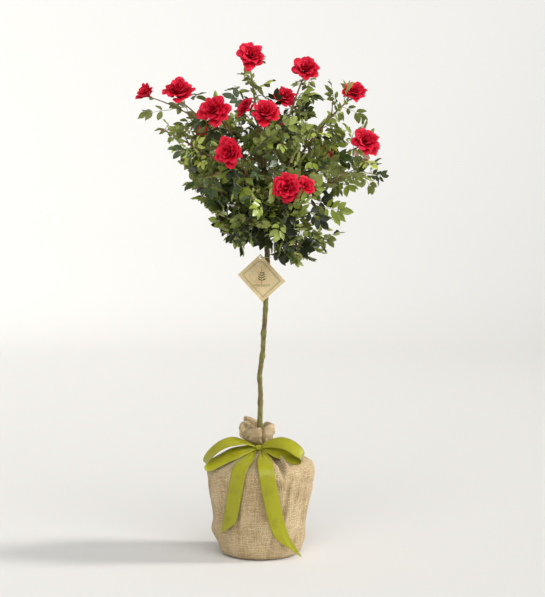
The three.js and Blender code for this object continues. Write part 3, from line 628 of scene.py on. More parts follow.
class Growth:
    """The whole crown: lines of limbs, and the spots of leaflets, petals, sepals and prickles."""

    def __init__(self, twigs, twig_radius, leaflet_length, node_spacing):
        self.twigs, self.twig_radius = twigs, twig_radius
        self.leaflet_length, self.node_spacing = leaflet_length, node_spacing
        self.shoots = shoots()
        self.boughs = [(curve_run(shoot["curve"], 0, ELBOW, 14),
                        taper(CANE_FOOT_RADIUS, CANE_ELBOW_RADIUS, 14)) for shoot in self.shoots]
        self.stems, self.stalks, self.sepals, self.hips, self.buds, self.prickles = [[] for _ in range(6)]
        self.leaflets = {tint: [] for tint in LEAF_GLOSS}
        self.petals = {layer: [] for layer in PETAL_LAYERS}
        self.hubs, self.spill = [], 0
        self.set_sites()
        for shoot in self.shoots:
            self.grow_mass(shoot)

    def set_sites(self):
        """Points that claim the room round them for one mass, and the limbs that leaves keep off."""
        sites, keys, runs = [], [], []
        for shoot in self.shoots:
            points = [curve_point(shoot["curve"], lerp(ELBOW, 1, t)) for t in (0, 0.2, 0.4, 0.6, 0.8, 1)]
            points += [curve_point(stalk, t) for stalk in shoot["stalks"] for t in (0.35, 0.7, 1)]
            points += [bloom_middle(flower) for flower in shoot["blooms"]]
            sites += points
            keys += [shoot["key"]] * len(points)
            bough = curve_run(shoot["curve"], 0, ELBOW, 5)
            runs += [(start, end, BOUGH_ROOM) for start, end in zip(bough, bough[1:])]
        for low in range(TRUNK_ROOM_FROM, HEAD_TOP, TRUNK_ROOM_STEP):
            high = low + TRUNK_ROOM_STEP
            room = HEAD_RADIUS if high > HEAD_LOW else TRUNK_ROOM
            runs.append((trunk_middle(low), trunk_middle(high), room))
        self.sites, self.keys = np.array(sites), np.array(keys)
        self.run_start = np.array([start for start, _, _ in runs])
        self.run_way = np.array([end - start for start, end, _ in runs])
        self.run_radius = np.array([radius for _, _, radius in runs])
        flowers = [flower for shoot in self.shoots for flower in shoot["blooms"]]
        self.heads = np.array([bloom_middle(flower) for flower in flowers])
        self.head_radius = np.array([flower.breadth / 2 for flower in flowers])
        self.head_way = np.array([facing(flower) for flower in flowers])
        # A bloom that looks to the bow's side is kept clear on that side too.
        self.head_front = np.where(self.head_way[:, 1:2] < FRONT_NOD, [FRONT_WAY], self.head_way)

    def inside_crown(self, point):
        out = math.hypot(point.x - HEAD_X, point.y)
        return (out < CROWN_REACH and abs(point.y) < CROWN_DEPTH
                and along(CROWN_LEFT, point.z) < point.x < along(CROWN_RIGHT, point.z)
                and along(CROWN_FLOOR, out) < point.z < along(CROWN_ROOF, out))

    def own_space(self, point, key, overlap):
        """A mass keeps to its own space, apart from an overlap that closes the seams between masses."""
        gaps = np.linalg.norm(self.sites - np.array(point), axis=1)
        return gaps[self.keys == key].min() < gaps[self.keys != key].min() + (overlap + self.spill)

    def clear_of_limbs(self, point, margin):
        offset = np.array(point) - self.run_start
        share = (offset * self.run_way).sum(1) / (self.run_way ** 2).sum(1)
        nearest = self.run_start + self.run_way * np.clip(share, 0, 1)[:, None]
        return bool((np.linalg.norm(nearest - np.array(point), axis=1) > self.run_radius + margin).all())

    def clear_of_blooms(self, point):
        offset = np.array(point) - self.heads
        hides = np.linalg.norm(offset, axis=1) < self.head_radius * BLOOM_ROOM
        for way in (self.head_way, self.head_front):
            before = (offset * way).sum(1)
            aside = np.linalg.norm(offset - before[:, None] * way, axis=1)
            hides = hides | ((before > 0) & (before < VIEW_DEPTH) & (aside < self.head_radius * VIEW_ROOM))
        return not bool(hides.any())

    def fits(self, points, key, overlap, margin):
        return all(self.inside_crown(point) and self.own_space(point, key, overlap)
                   and self.clear_of_limbs(point, margin) and self.clear_of_blooms(point)
                   for point in points)

    def grow_mass(self, shoot):
        key, curve = shoot["key"], shoot["curve"]
        self.stems.append((curve_run(curve, ELBOW, 1, 16), taper(CANE_ELBOW_RADIUS, CANE_TIP_RADIUS, 16)))
        for order, stalk in enumerate(shoot["stalks"], STALK_KEY):
            self.stems.append((curve_run(stalk, 0, 1, 9), taper(*STALK_RADII, 9)))
            self.dress(shoot, order, stalk, 0.2, 0.8, self.tint_of(shoot, order, stalk[2]))
        for index, flower in enumerate(shoot["blooms"]):
            self.grow_bloom(shoot, index, flower)
        for order in range(self.twigs):
            share = (order + 0.5 * chance(key, order, 1)) / self.twigs
            self.grow_twig(shoot, order, lerp(ELBOW + 0.03, 0.97, share))
        # Short twigs low on the bough close the crown round its head, and may reach past their own mass.
        self.spill = INNER_SPILL
        for order in range(INNER_TWIGS):
            self.grow_twig(shoot, order + INNER_KEY, lerp(0.1, ELBOW + 0.12, order / (INNER_TWIGS - 1)))
        self.spill = 0
        self.dress_cane(shoot)
        if not shoot["blooms"]:
            self.leaf(shoot, curve_point(curve, 0.99), curve_way(curve, 1), 0.3,
                      self.tint_of(shoot, TIP_KEY, curve[2]))

    def dress_cane(self, shoot):
        """Leaves and prickles on the cane itself. Its bare top keeps more of the leaves that grow on it."""
        key, curve, count = shoot["key"], shoot["curve"], self.twigs * 0.9
        for order in range(int(count)):
            t = lerp(ELBOW + 0.05, 0.97, (order + chance(key, order, 21)) / count)
            start, way = curve_point(curve, t), curve_way(curve, t)
            turn = order * GOLDEN_ANGLE + key
            heading = (sideways(way, turn) + way * 0.4 + UP * 0.25).normalized()
            self.leaf(shoot, start, heading, chance(key, order, 22),
                      self.tint_of(shoot, order + CANE_LEAF_KEY, start), 0.8 if start.z > 890 else 0.25)
            if order % 3 == 0 and t < 0.8:
                girth = lerp(CANE_ELBOW_RADIUS, CANE_TIP_RADIUS, (t - ELBOW) / (1 - ELBOW))
                out = sideways(way, turn + 2)
                self.prickles.append((start + out * girth * 0.9, turn_to(out - way * 0.35, way), (4.5,) * 3))

    def tint_of(self, shoot, order, point):
        """Sprays take darker tints inside the crown, as painted shade, and lighter ones towards its outside
        and top, as painted light, partly at random; some tips are bronze.
        """
        out = math.hypot(point.x - HEAD_X, point.y) / CROWN_REACH
        high = (point.z - 640) / 340
        draw = chance(shoot["key"], order, 31)
        if out > 0.6 and draw < BRONZE.get(shoot["name"], FEW_BRONZE):
            return "young"
        # How lit a spray is painted: more towards the crown's outside and top, with a random share.
        light = 0.55 * draw + 0.35 * out + 0.25 * high
        return ("deep" if light < 0.36 else "green" if light < 0.58 else
                "olive" if light < 0.79 else "bright")

    def share_kept(self, point):
        """The share of leaves that grow at a place: fewer above the close foliage and far to the left."""
        above = point.z - along(CLOSE_TOP, point.x)
        high = along([(-140, 1.0), (-45, 0.68), (0, 0.46), (35, 0.34), (80, 0.28)], above)
        left = along([(-160, 1.5), (-110, 1.0)], point.x) if point.z > 820 else 1.0
        right = along([(90, 1.0), (200, 0.75)], point.x)
        # Open pockets run right through the crown from front to back, fewer of them low down.
        through = Vector((point.x, 0.35 * point.y, point.z))
        pocket = 0.7 + 3.4 * noise.noise(through * 0.027)
        low = along([(650, 0.45), (740, 0)], point.z)
        return high * left * right * min(1, max(0.12, pocket + low))

    def grow_twig(self, shoot, order, t):
        key, curve = shoot["key"], shoot["curve"]
        start, way = curve_point(curve, t), curve_way(curve, t)
        turn = order * GOLDEN_ANGLE + 1.7 * key
        heading = (way * 0.55 + sideways(way, turn) * 0.8 + UP * 0.1).normalized()
        length = (TWIG_LENGTH * LONG_TWIGS.get(shoot["name"], 1) * lerp(0.8, 1.2, chance(key, order, 2))
                  * lerp(1.15, 0.6, (t - ELBOW) / (1 - ELBOW)))
        if chance(key, order, 6) > self.share_kept(start + heading * length) + 0.25:
            return
        for share in (1, 0.7, 0.45):
            end = start + heading * length * share
            twig = (start, start.lerp(end, 0.5) + UP * TWIG_ARCH * length * share, end)
            if self.fits((curve_point(twig, 0.5), end), key, *TWIG_FIT):
                break
        else:
            return
        last = self.dress(shoot, order, twig, 0.16, 1.0, self.tint_of(shoot, order, end))
        if last:
            self.stems.append((curve_run(twig, 0, last, 6),
                               taper(self.twig_radius, TWIG_TAPER * self.twig_radius, 6)))

    def dress(self, shoot, order, twig, start, end, tint):
        """Leaves one by one round a twig, a golden angle from each to the next. Returns where the last is."""
        length = (twig[2] - twig[0]).length
        count = max(2, round(length * (end - start) / self.node_spacing))
        last = 0
        for index in range(count + 1):
            t = lerp(start, end, index / count)
            point, way = curve_point(twig, t), curve_way(twig, t)
            spread = 0.25 if index == count and end > 0.95 else 1.15
            side = sideways(way, index * GOLDEN_ANGLE + order + 2.1 * shoot["key"])
            heading = (way * 0.75 + side * spread + UP * 0.08).normalized()
            if self.leaf(shoot, point, heading, chance(shoot["key"], order, index, 3), tint):
                last = t
        return last

    def leaf(self, shoot, start, heading, draw, tint, bonus=0.0):
        """A compound leaf of five or seven leaflets, smaller or left out where it doesn't fit. Returns
        whether it grew."""
        for scale in (1, 0.82, 0.66):
            size = scale * lerp(0.86, 1.1, draw)
            face = light_side(start + heading * 40, heading, (draw * 7) % 1)
            hub = start + heading * LEAF_MIDDLE * size
            if any((hub - other).length < LEAF_GAP * size for other in self.hubs[-LEAVES_NEAR:]):
                continue
            side = face.cross(heading)
            ends = [start + heading * LEAF_REACH * size, hub + side * LEAF_HALF * size,
                    hub - side * LEAF_HALF * size, hub]
            if self.fits(ends, shoot["key"], *LEAF_FIT):
                break
        else:
            return False
        if draw * 13 % 1 > self.share_kept(hub) + bonus:
            return False
        self.hubs.append(hub)
        self.add_leaflets(start, heading, face, side, size, draw, tint)
        return True

    def add_leaflets(self, start, heading, face, side, size, draw, tint):
        pairs = 2 if draw * 5 % 1 < 0.62 else 3
        rachis = RACHIS[pairs] * size
        droop = (0.10 + 0.22 * (draw * 3 % 1)) * rachis

        def spot(share):
            return start + heading * rachis * share - face * droop * share * share

        self.stalks.append(([spot(0), spot(0.5), spot(1)], [0.62, 0.5, 0.4]))
        tip_way = (heading * rachis - face * 2 * droop).normalized()
        length = self.leaflet_length * size * (1 if pairs == 2 else 0.9)
        self.add_leaflet(spot(1) + tip_way * 1.5, tip_way, face, length * 1.1, draw, tint)
        for pair in range(pairs):
            rank = pair / (pairs - 1)
            angle = lerp(1.12, 0.88, rank)
            for hand in (-1, 1):
                jitter = chance(int(draw * 1e6), pair, hand + 1)
                way = heading * math.cos(angle) + side * hand * math.sin(angle)
                way = (way - face * (0.15 + 0.7 * (jitter - 0.5)) - UP * 0.12).normalized()
                tilt = (face + side * hand * (1.1 * (jitter * 3 % 1) - 0.65)
                        + heading * 0.9 * ((jitter * 7) % 1 - 0.5))
                self.add_leaflet(spot(lerp(0.42, 0.92, rank)) + way * 1.2, way, tilt,
                                 length * lerp(0.82, 1, rank) * lerp(0.9, 1.08, jitter), jitter, tint)

    def add_leaflet(self, place, way, normal, length, draw, tint):
        fold = lerp(0.35, 2.0, (draw * 17) % 1)
        broad = lerp(0.9, 1.1, (draw * 29) % 1)
        self.leaflets[tint].append((place, turn_to(way, normal), (length, length * broad, length * fold)))

    def grow_bloom(self, shoot, index, flower):
        """A bloom's petals, layer by layer, its five sepals and its cup. One that nods less is less open."""
        axis, radius = facing(flower), flower.breadth / 2
        closed = along([(42, 18), (50, 7), (56, 0)], flower.nod)
        stand = UP.rotation_difference(axis)
        root = bloom_middle(flower) - axis * 0.72 * radius
        small = flower.breadth < SMALL_BLOOM

        def add(spots, place, spin, lean, size):
            turn = stand @ Quaternion((0, 0, 1), spin) @ Quaternion((0, 1, 0), lean)
            spots.append((place, turn, (size,) * 3))

        count = 0
        for depth, (layer, (_, petals, tilt, size)) in enumerate(PETAL_LAYERS.items()):
            if small and layer == "outer":
                continue
            upright = closed * (0.3 + 0.14 * depth)
            for _ in range(petals):
                draw = chance(shoot["key"], index, count, 51)
                grow = radius * size * lerp(0.92, 1.07, draw * 7 % 1)
                grow *= 1.6 if small else 1 + closed * (0.006 + 0.004 * depth)
                add(self.petals[layer], root, count * 2.4 + 0.3 * (draw - 0.5),
                    -math.radians(tilt + upright + 16 * (draw - 0.5)), grow)
                count += 1
        for sepal in range(5):
            draw = chance(shoot["key"], index, sepal, 52)
            add(self.sepals, root - axis * 0.05 * radius, sepal * 1.2566 + 0.3, math.radians(20 + 40 * draw),
                0.62 * min(radius, 26))
        girth = lerp(2.6, 4.0, min(1, radius / 28))
        self.hips.append((root - axis * 1.2 * girth, stand, (girth, girth, girth * 1.5)))
        self.stalks.append(([cup_foot(flower) - axis * 3, root - axis * girth], [1.3, 1.2]))
        if flower.breadth >= BUDDING_BLOOM:
            self.grow_buds(shoot, index, flower)

    def grow_buds(self, shoot, index, flower):
        """One or two buds on short stalks beside a bloom."""
        axis = facing(flower)
        for bud in range(1 + (chance(shoot["key"], index, 61) > 0.6)):
            turn = 6.28 * chance(shoot["key"], index, bud, 62)
            foot = cup_foot(flower) - axis * 6
            way = (axis * 0.5 + sideways(axis, turn) + UP * 0.5).normalized()
            end = foot + way * lerp(24, 38, chance(shoot["key"], index, bud, 63))
            if (self.inside_crown(end + way * 12) and self.clear_of_blooms(end)
                    and self.clear_of_blooms(end + way * 10)):
                self.stalks.append((curve_run((foot, foot.lerp(end, 0.5) + UP * 2, end), 0, 1, 4),
                                    [1.1, 1.0, 0.9, 0.85, 0.8]))
                self.buds.append((end, UP.rotation_difference(way), (4.4, 4.4, 7.5)))


# The tints of the leaves, each with the weight of the wax that shines on it. From deep to bright they run
# from painted shade to painted light; young is the bronze of new shoots.
LEAF_GLOSS = {"deep": 0.1, "green": 0.35, "olive": 0.5, "bright": 0.4, "young": 0.1}

# Layers of petals: (rise at the foot, rise at the rim, length, half spread in degrees, roll of the
# margin, point of the tip), how many, how far they lean in, and their size.
PETAL_LAYERS = {
    "outer": ((60, 0, 1.14, 42, 0.13, 0.09), 7, -2, 1.06),
    "second": ((68, 24, 1.14, 42, 0.12, 0.09), 7, 0, 1.04),
    "middle": ((75, 44, 1.14, 42, 0.11, 0.08), 7, 1, 1.02),
    "inner": ((80, 64, 1.12, 46, 0.10, 0.07), 6, 1, 1.0),
    "heart": ((83, 88, 1.06, 56, 0.07, 0.04), 6, 0, 0.98),
    "bud": ((84, 108, 0.98, 80, 0.04, 0.02), 4, 0, 0.94),
}


@lru_cache(maxsize=None)
def grown_crown(twigs, twig_radius, leaflet_length, node_spacing):
    return Growth(twigs, twig_radius, leaflet_length, node_spacing)


def crown():
    plant = bpy.context.scene.rose_plant
    return grown_crown(plant.twigs, round(plant.twig_radius / MM, 4),
                       round(plant.leaflet_length / MM, 4), round(plant.node_spacing / MM, 4))


MASSES = [cane[0] for cane in CANES]


# ---------------------------------------------------------------- materials of the plant

def bark_material(plant):
    """Smooth young rose bark, grown: a green waxy skin that splits into brown cork along the stem."""
    material, tree, place = new_material("smooth_rose_bark_grown", {"Roughness": 0.62, "IOR": 1.45})
    # Cork plates are 4 mm across and about four times as long up the stem.
    stretched = add_node(tree, "ShaderNodeMapping", links={"Vector": place, "Scale": (1, 1, 0.25)})
    cork, blotch = [add_node(tree, "ShaderNodeTexNoise", links={
        "Vector": spot, "Scale": scale, "Detail": detail, "Roughness": uneven})
        for spot, scale, detail, uneven in ((stretched, 240.0, 5.0, 0.62), (place, 26.0, 3.0, 0.6))]
    # The stem is brown under the crown and in blotches, and green between.
    height = add_node(tree, "ShaderNodeSeparateXYZ", links={"Vector": place}).outputs["Z"]
    sunned = add_node(tree, "ShaderNodeMapRange", links={
        "Value": height, "From Min": 0.56, "From Max": 0.64, "To Max": 0.42})
    brown = add_node(tree, "ShaderNodeMath", {"operation": "ADD"}, {0: blotch, 1: sunned})
    skin, fissure = [add_node(tree, "ShaderNodeValToRGB", {"stops": stops}, {"Fac": source})
                     for stops, source in (([(0.42, plant.bark_green), (0.72, plant.bark_brown)], brown),
                                           ([(0.34, (0.38, 0.34, 0.28)), (0.56, (1, 1, 1))], cork))]
    colour = add_node(tree, "ShaderNodeMix", {"data_type": "RGBA", "blend_type": "MULTIPLY"},
                      {FACTOR: 0.85, COLOUR_A: skin, COLOUR_B: fissure})
    return finish_shader(material, colour.outputs[MIXED_COLOUR], cork, (0.78, 0.45), (0.6, 0.0012))


def cane_material(name, tones):
    """Skin of this year's canes and stalks, grown: smooth and waxy, green on the shaded side."""
    return mottled_material(name, {"Roughness": 0.5, "IOR": 1.45, "Coat Weight": 0.1}, tones, (0.38, 0.62),
                            (38, 3, 0.6), (700, 2, 0.5), (0.38, 0.62), (0.3, 0.0004))


def leaf_material(name, colour, gloss):
    """A rose leaf's skin, grown: a thin wax that shines on top, puckered between the veins."""
    surface = {"Base Color": opaque(colour), "Roughness": 0.4, "IOR": 1.45, "Specular IOR Level": 0.35,
               "Coat Weight": gloss, "Coat Roughness": 0.25}
    # Puckers between the side veins are about 3 mm apart.
    return mottled_material(name, surface, shades_of(colour, 0.78, 1.24), (0.3, 0.7), (55, 3, 0.65),
                            (330, 2, 0.5), (0.34, 0.6), (0.35, 0.0008))


def petal_material(name, tones):
    """A rose petal, grown: velvety cells that glow at grazing angles, with fine ribs from its foot."""
    surface = {"Roughness": 0.55, "IOR": 1.4, "Specular IOR Level": 0.2, "Sheen Weight": 0.06,
               "Sheen Roughness": 0.35, "Sheen Tint": (1.0, 0.42, 0.52, 1.0)}
    return mottled_material(name, surface, tones, (0.32, 0.6), (90, 3, 0.6), (420, 2, 0.5), (0.45, 0.68),
                            (0.3, 0.0006))


# ---------------------------------------------------------------- trunk, boughs and twigs

def trunk_skin(angle, height):
    """Relief of the bark in millimetres: long ridges, corky lumps and the scars at the bud eyes."""
    place = polar(5, angle, height)
    ridge = noise.noise(Vector((place.x * 0.55, place.y * 0.55, height * 0.035))) * 0.55
    lump = noise.noise(place * 0.16 + Vector((7, 3, 1))) * 0.6
    grain = noise.noise(Vector((place.x * 1.3, place.y * 1.3, height * 0.22))) * 0.22
    step = round(height / BUD_EYE_STEP - 0.5)
    near = (step + 0.5) * BUD_EYE_STEP
    scar = bell(height, near, 4.5) * max(0, math.cos(angle - step * GOLDEN_ANGLE)) ** 4 * 1.5
    ring = 0.35 * bell(height - near, 3.5, 1.3)
    return ridge + lump + grain + (scar + ring if height < HEAD_LOW else 0)


def trunk_mesh(name):
    columns, rows = 36, 300
    points = []
    for row in range(rows + 1):
        height = lerp(SOIL_HEIGHT, HEAD_TOP, row / rows)
        middle, radius = trunk_middle(height), trunk_radius(height) - (1.2 if row == rows else 0)
        for column in range(columns):
            angle = FULL_TURN * column / columns
            out = radius - 0.25 + trunk_skin(angle, height)
            if height > HEAD_LOW:
                out += 1.3 * noise.noise(polar(2, angle, height * 0.08))
            points.append((middle + polar(out, angle)) * MM)
    faces = grid_faces(rows + 1, columns, closed=True)
    faces += [tuple(reversed(range(columns))), tuple(range(rows * columns, (rows + 1) * columns))]
    return new_piece(name, points, faces)


class ROSE_OT_trunk(bpy.types.Operator):
    """The trunk with its bark in relief."""
    bl_idname = "rose.trunk"
    bl_label = "Trunk"

    def execute(self, context):
        plant = context.scene.rose_plant
        finish_piece(trunk_mesh("trunk_bark"), ["trunk"], bark_material(plant))
        return {"FINISHED"}


class ROSE_OT_canes(bpy.types.Operator):
    """The boughs, the canes beyond them, and their twigs, leaf stalks and prickles."""
    bl_idname = "rose.canes"
    bl_label = "Canes and Twigs"

    def execute(self, context):
        plant, grown = context.scene.rose_plant, crown()
        skin = cane_material("rose_cane_skin_grown", (plant.cane_red, plant.cane_green))
        green = cane_material("leaf_stalk_skin_grown", (plant.cane_green, plant.sepal))
        for name, lines, sides, relief, scale, paint, nodes in (
                ("boughs_bark", grown.boughs, 12, 0.0012, 160.0, skin, [f"bough_{name}" for name in MASSES]),
                ("canes_and_twigs", grown.stems, 6, 0.0006, 220.0, skin, ()),
                ("leaf_stalks", grown.stalks, 3, 0.0, 200.0, green, ())):
            limbs_piece(name, lines, {
                "Sides": sides, "Relief": relief, "Relief Scale": scale, "Seed": plant.seed,
                "Material": paint}, nodes)
        spray_piece("prickles", prickle_shape(), grown.prickles, (skin, skin),
                    {"Size Spread": 0.25, "Seed": plant.seed})
        return {"FINISHED"}


def prickle_shape():
    """A hooked prickle, one unit long, on a broad foot."""
    rings = [(0, 0.36, 0), (0.3, 0.2, -0.02), (0.65, 0.09, -0.12)]
    points = [Vector((x, r * math.cos(a) * 0.6, z + r * math.sin(a)))
              for x, r, z in rings for a in (0, 1.2566, 2.5133, 3.7699, 5.0265)]
    points.append(Vector((1, 0, -0.34)))
    faces = grid_faces(3, 5, closed=True)
    faces += [(15, 10 + i, 10 + (i + 1) % 5) for i in range(5)]
    faces.append((4, 3, 2, 1, 0))
    return new_piece("prickle_shape", points, faces)


# ---------------------------------------------------------------- leaves

LEAFLET_SIDE = [(0.0, 0.0), (0.07, 0.1), (0.16, 0.175), (0.2, 0.165), (0.3, 0.25), (0.34, 0.237),
                (0.46, 0.285), (0.5, 0.265), (0.62, 0.262), (0.66, 0.238), (0.78, 0.185), (0.81, 0.158),
                (0.91, 0.08), (1.0, 0.0)]
LEAFLET_RIB = [0.0, 0.2, 0.4, 0.6, 0.8, 1.0]


def leaflet_rise(x, y):
    """A leaflet folds up from its midrib, bends down towards its tip and waves at its margin."""
    return (0.34 * abs(y) - 0.35 * y * y - 0.11 * x * x
            + 0.02 * math.sin(9 * x + (2 if y > 0 else 0)) * min(1, abs(y) * 5))


def strip_between(rib, edge, reach):
    """Triangles between two chains of points that start and end together, taken in order of reach."""
    faces, i, j = [], 0, 0
    while i < len(rib) - 1 or j < len(edge) - 1:
        if j == len(edge) - 1 or (i < len(rib) - 1 and reach[rib[i + 1]] <= reach[edge[j + 1]]):
            face, i = (rib[i], rib[i + 1], edge[j]), i + 1
        else:
            face, j = (rib[i], edge[j + 1], edge[j]), j + 1
        if len(set(face)) == 3:
            faces.append(face)
    return faces


def leaflet_shape():
    """One leaflet, one unit long: an oval blade with a toothed margin, folded along its midrib."""
    side = LEAFLET_SIDE[1:-1]
    ribs = [(x, 0.0) for x in LEAFLET_RIB]
    outline = [(x, y) for x, y in side] + [(x, -y) for x, y in side]
    flat = ribs + outline
    upper = [Vector((x, y, leaflet_rise(x, y))) for x, y in flat]
    under = [Vector((x, 0, leaflet_rise(x, 0) - 0.024)) if 0 < i < len(ribs) - 1 else None
             for i, (x, y) in enumerate(flat)]
    faces = []
    for hand, first in ((1, len(ribs)), (-1, len(ribs) + len(side))):
        edge = [0, *range(first, first + len(side)), len(ribs) - 1]
        half = strip_between(list(range(len(ribs))), edge, [x for x, _ in flat])
        faces += half if hand > 0 else [face[::-1] for face in half]
    return thin_shape("leaflet_shape", upper, under, faces, [min(1, x * 1.3) for x, _ in flat])


class ROSE_OT_leaves(bpy.types.Operator):
    """The leaves, one piece for each tint."""
    bl_idname = "rose.leaves"
    bl_label = "Leaves"

    def execute(self, context):
        plant, grown = context.scene.rose_plant, crown()
        under = leaf_material("rose_leaf_underside_grown", plant.leaf_under, 0.0)
        masses = [f"foliage_{name}" for name in MASSES]
        for tint, gloss in LEAF_GLOSS.items():
            if not grown.leaflets[tint]:
                raise RuntimeError(f"no leaves of the tint {tint} grew")
            skin = leaf_material(f"rose_leaf_{tint}_grown", getattr(plant, f"leaf_{tint}"), gloss)
            spray_piece(f"leaves_{tint}", leaflet_shape(), grown.leaflets[tint], (skin, under), {
                "Size Spread": 0.06, "Ruffle": 0.0022, "Ruffle Scale": 75.0, "Seed": plant.seed}, masses)
            masses = ()
        return {"FINISHED"}


# ---------------------------------------------------------------- blooms

def petal_shape(rise_foot, rise_rim, length, half_spread, curl, point):
    """A petal that leaves the flower's axis at its foot, cupped round it and rolled out at its rim."""
    rows, columns, steps = 9, 11, 24
    path = [(0.05, 0.0)]
    for step in range(steps):
        bend = math.radians(lerp(rise_foot, rise_rim, (step / steps) ** 1.3))
        radius, height = path[-1]
        path.append((radius + math.cos(bend) * length / steps, height + math.sin(bend) * length / steps))
    upper, under, loose = [], [], []
    for row in range(rows):
        share = row / (rows - 1)
        for column, across in enumerate(places_across(columns)):
            tip = point * bell(across, 0, 0.3) * share
            reach = share * (0.94 - 0.24 * abs(across) ** 2.6 + tip)
            radius, height = [along(list(enumerate(axis)), reach * steps) for axis in zip(*path)]
            turn = across * math.radians(half_spread) * (0.3 + 0.7 * reach ** 0.6)
            # The margin rolls back on both sides of the tip, which leaves the tip in a soft point.
            roll = (max(0, abs(across) - 0.35) / 0.65 * max(0, reach - 0.45) / 0.55) ** 1.6
            rim = max(0, reach - 0.8) / 0.2
            radius += curl * roll * 0.5 + 0.05 * rim * rim
            height -= curl * roll * 2.2 + curl * 0.5 * rim * rim
            spot = polar(radius, turn, height)
            edge = row in (0, rows - 1) or column in (0, columns - 1)
            upper.append(spot)
            under.append(None if edge else spot + polar(0.55, turn, -0.8) * 0.02)
            loose.append(reach ** 1.5)
    # Both sides split their quads along the same diagonal, so that neither cuts through the other.
    faces = [half for a, b, c, d in grid_faces(rows, columns) for half in ((a, d, c), (a, c, b))]
    # The last row along the rim takes the back's paler pink on its upper side, as a painted highlight.
    return thin_shape("petal_shape", upper, under, faces, loose, rim=2 * (columns - 1))


# The swollen green cup under a bloom, and a closed bud, a pointed egg on its foot, both one unit in radius.
HIP_PROFILE = [(0, -1), (0.5, -0.88), (0.86, -0.5), (1, 0), (0.92, 0.45), (0.62, 0.8), (0, 0.95)]
BUD_PROFILE = [(0, -0.3), (0.55, -0.22), (0.8, 0.05), (0.62, 0.22), (0.95, 0.5), (1, 0.85), (0.78, 1.35),
               (0.4, 1.8), (0, 2.1)]


def turned_shape(name, profile, columns):
    """A shape turned about Z from (radius, height) pairs that start and end on the axis."""
    points = [Vector((0, 0, profile[0][1]))]
    for radius, height in profile[1:-1]:
        points += [polar(radius, FULL_TURN * c / columns, height) for c in range(columns)]
    points.append(Vector((0, 0, profile[-1][1])))
    rows, last = len(profile) - 2, len(points) - 1
    faces = grid_faces(rows, columns, closed=True, start=1)
    faces += [(0, 1 + (c + 1) % columns, 1 + c) for c in range(columns)]
    faces += [(last, last - columns + c, last - columns + (c + 1) % columns) for c in range(columns)]
    return new_piece(name, points, faces)


def sepal_shape():
    """A narrow pointed sepal, one unit long, that bows down."""
    side = [(0.0, 0.1), (0.3, 0.13), (0.6, 0.08), (1.0, 0.0)]
    rows = ([(x, 0, 0.1) for x, _ in side] + [(x, y, 0.13) for x, y in side[:-1]]
            + [(x, -y, 0.13) for x, y in side[:-1]])
    upper = [Vector((x, y, rise - 0.3 * x * x)) for x, y, rise in rows]
    under = [p + Vector((0, 0, -0.03)) if i in (1, 2) else None for i, p in enumerate(upper)]
    faces = [(0, 1, 5, 4), (1, 2, 6, 5), (2, 3, 6), (0, 7, 8, 1), (1, 8, 9, 2), (2, 9, 3)]
    return thin_shape("sepal_shape", upper, under, faces, [0.0] * len(upper))


class ROSE_OT_blooms(bpy.types.Operator):
    """The blooms, layer by layer, with their sepals, green cups and buds."""
    bl_idname = "rose.blooms"
    bl_label = "Blooms"

    def execute(self, context):
        plant, grown = context.scene.rose_plant, crown()
        # The petals' faces take painted shade in random patches, and the colour of their backs also paints a
        # highlight along each rim.
        face = petal_material("scarlet_rose_petal_grown", (plant.petal_painted_shade, plant.petal))
        back = petal_material("rose_petal_back_grown", (plant.petal, plant.petal_back))
        for layer, (form, _, _, _) in PETAL_LAYERS.items():
            spray_piece(f"petals_{layer}", petal_shape(*form), grown.petals[layer], (face, back), {
                "Size Spread": 0.08, "Ruffle": 0.0115, "Ruffle Scale": 100.0, "Seed": plant.seed})
        green = leaf_material("rose_sepal_grown", plant.sepal, 0.0)
        for name, shape, spots in (("sepals", sepal_shape(), grown.sepals),
                                   ("hips", turned_shape("hip", HIP_PROFILE, 10), grown.hips),
                                   ("buds", turned_shape("bud", BUD_PROFILE, 9), grown.buds)):
            spray_piece(name, shape, spots, (green, green), {"Seed": plant.seed})
        return {"FINISHED"}


# ---------------------------------------------------------------- sack

BASE_RADIUS, SHOULDER_RADIUS, SHOULDER_HEIGHT = 72, 108, 168
NECK_RADIUS, NECK_HEIGHT = 16, 218
RUFFLE_RADIUS, RUFFLE_HEIGHT, RUFFLE_LOBES, RUFFLE_LEAN = 35, 262, 5, 8
CLOTH_ROUND = FULL_TURN * SHOULDER_RADIUS  # the flat cloth's width as a tube

SACK_PROFILE = [(0, 0), (BASE_RADIUS, 0), (80, 4), (84, 14), (88, 38), (92, 72), (97, 108), (103, 142),
                (SHOULDER_RADIUS, SHOULDER_HEIGHT), (103, 182), (87, 192), (62, 200), (40, 206),
                (24, 210), (NECK_RADIUS, 212), (NECK_RADIUS - 0.4, NECK_HEIGHT)]
# Above the neck the cloth flares, rolls over at its rim and ends inside, round the trunk.
RUFFLE_PROFILE = [(NECK_RADIUS - 0.4, NECK_HEIGHT), (17, 222.5), (24, 227), (30.5, 234), (34.5, 244),
                  (RUFFLE_RADIUS, 253), (32.5, RUFFLE_HEIGHT - 2), (27, RUFFLE_HEIGHT - 1), (22.5, 257),
                  (19.5, 250), (16, 242), (13, 236)]


def even_profile(profile, spacing):
    """Points at an even spacing along a profile, rounded at its corners, with the length to each."""
    corners = np.array(profile, float)
    lengths = np.r_[0, np.cumsum(np.linalg.norm(np.diff(corners, axis=0), axis=1))]
    count = int(lengths[-1] / spacing)
    at = np.linspace(0, lengths[-1], count)
    made = np.column_stack([np.interp(at, lengths, corners[:, k]) for k in (0, 1)])
    for _ in range(4):
        made[1:-1] = (made[:-2] + 2 * made[1:-1] + made[2:]) / 4
    made[:, 1] = np.maximum(made[:, 1], 0)
    return made, at


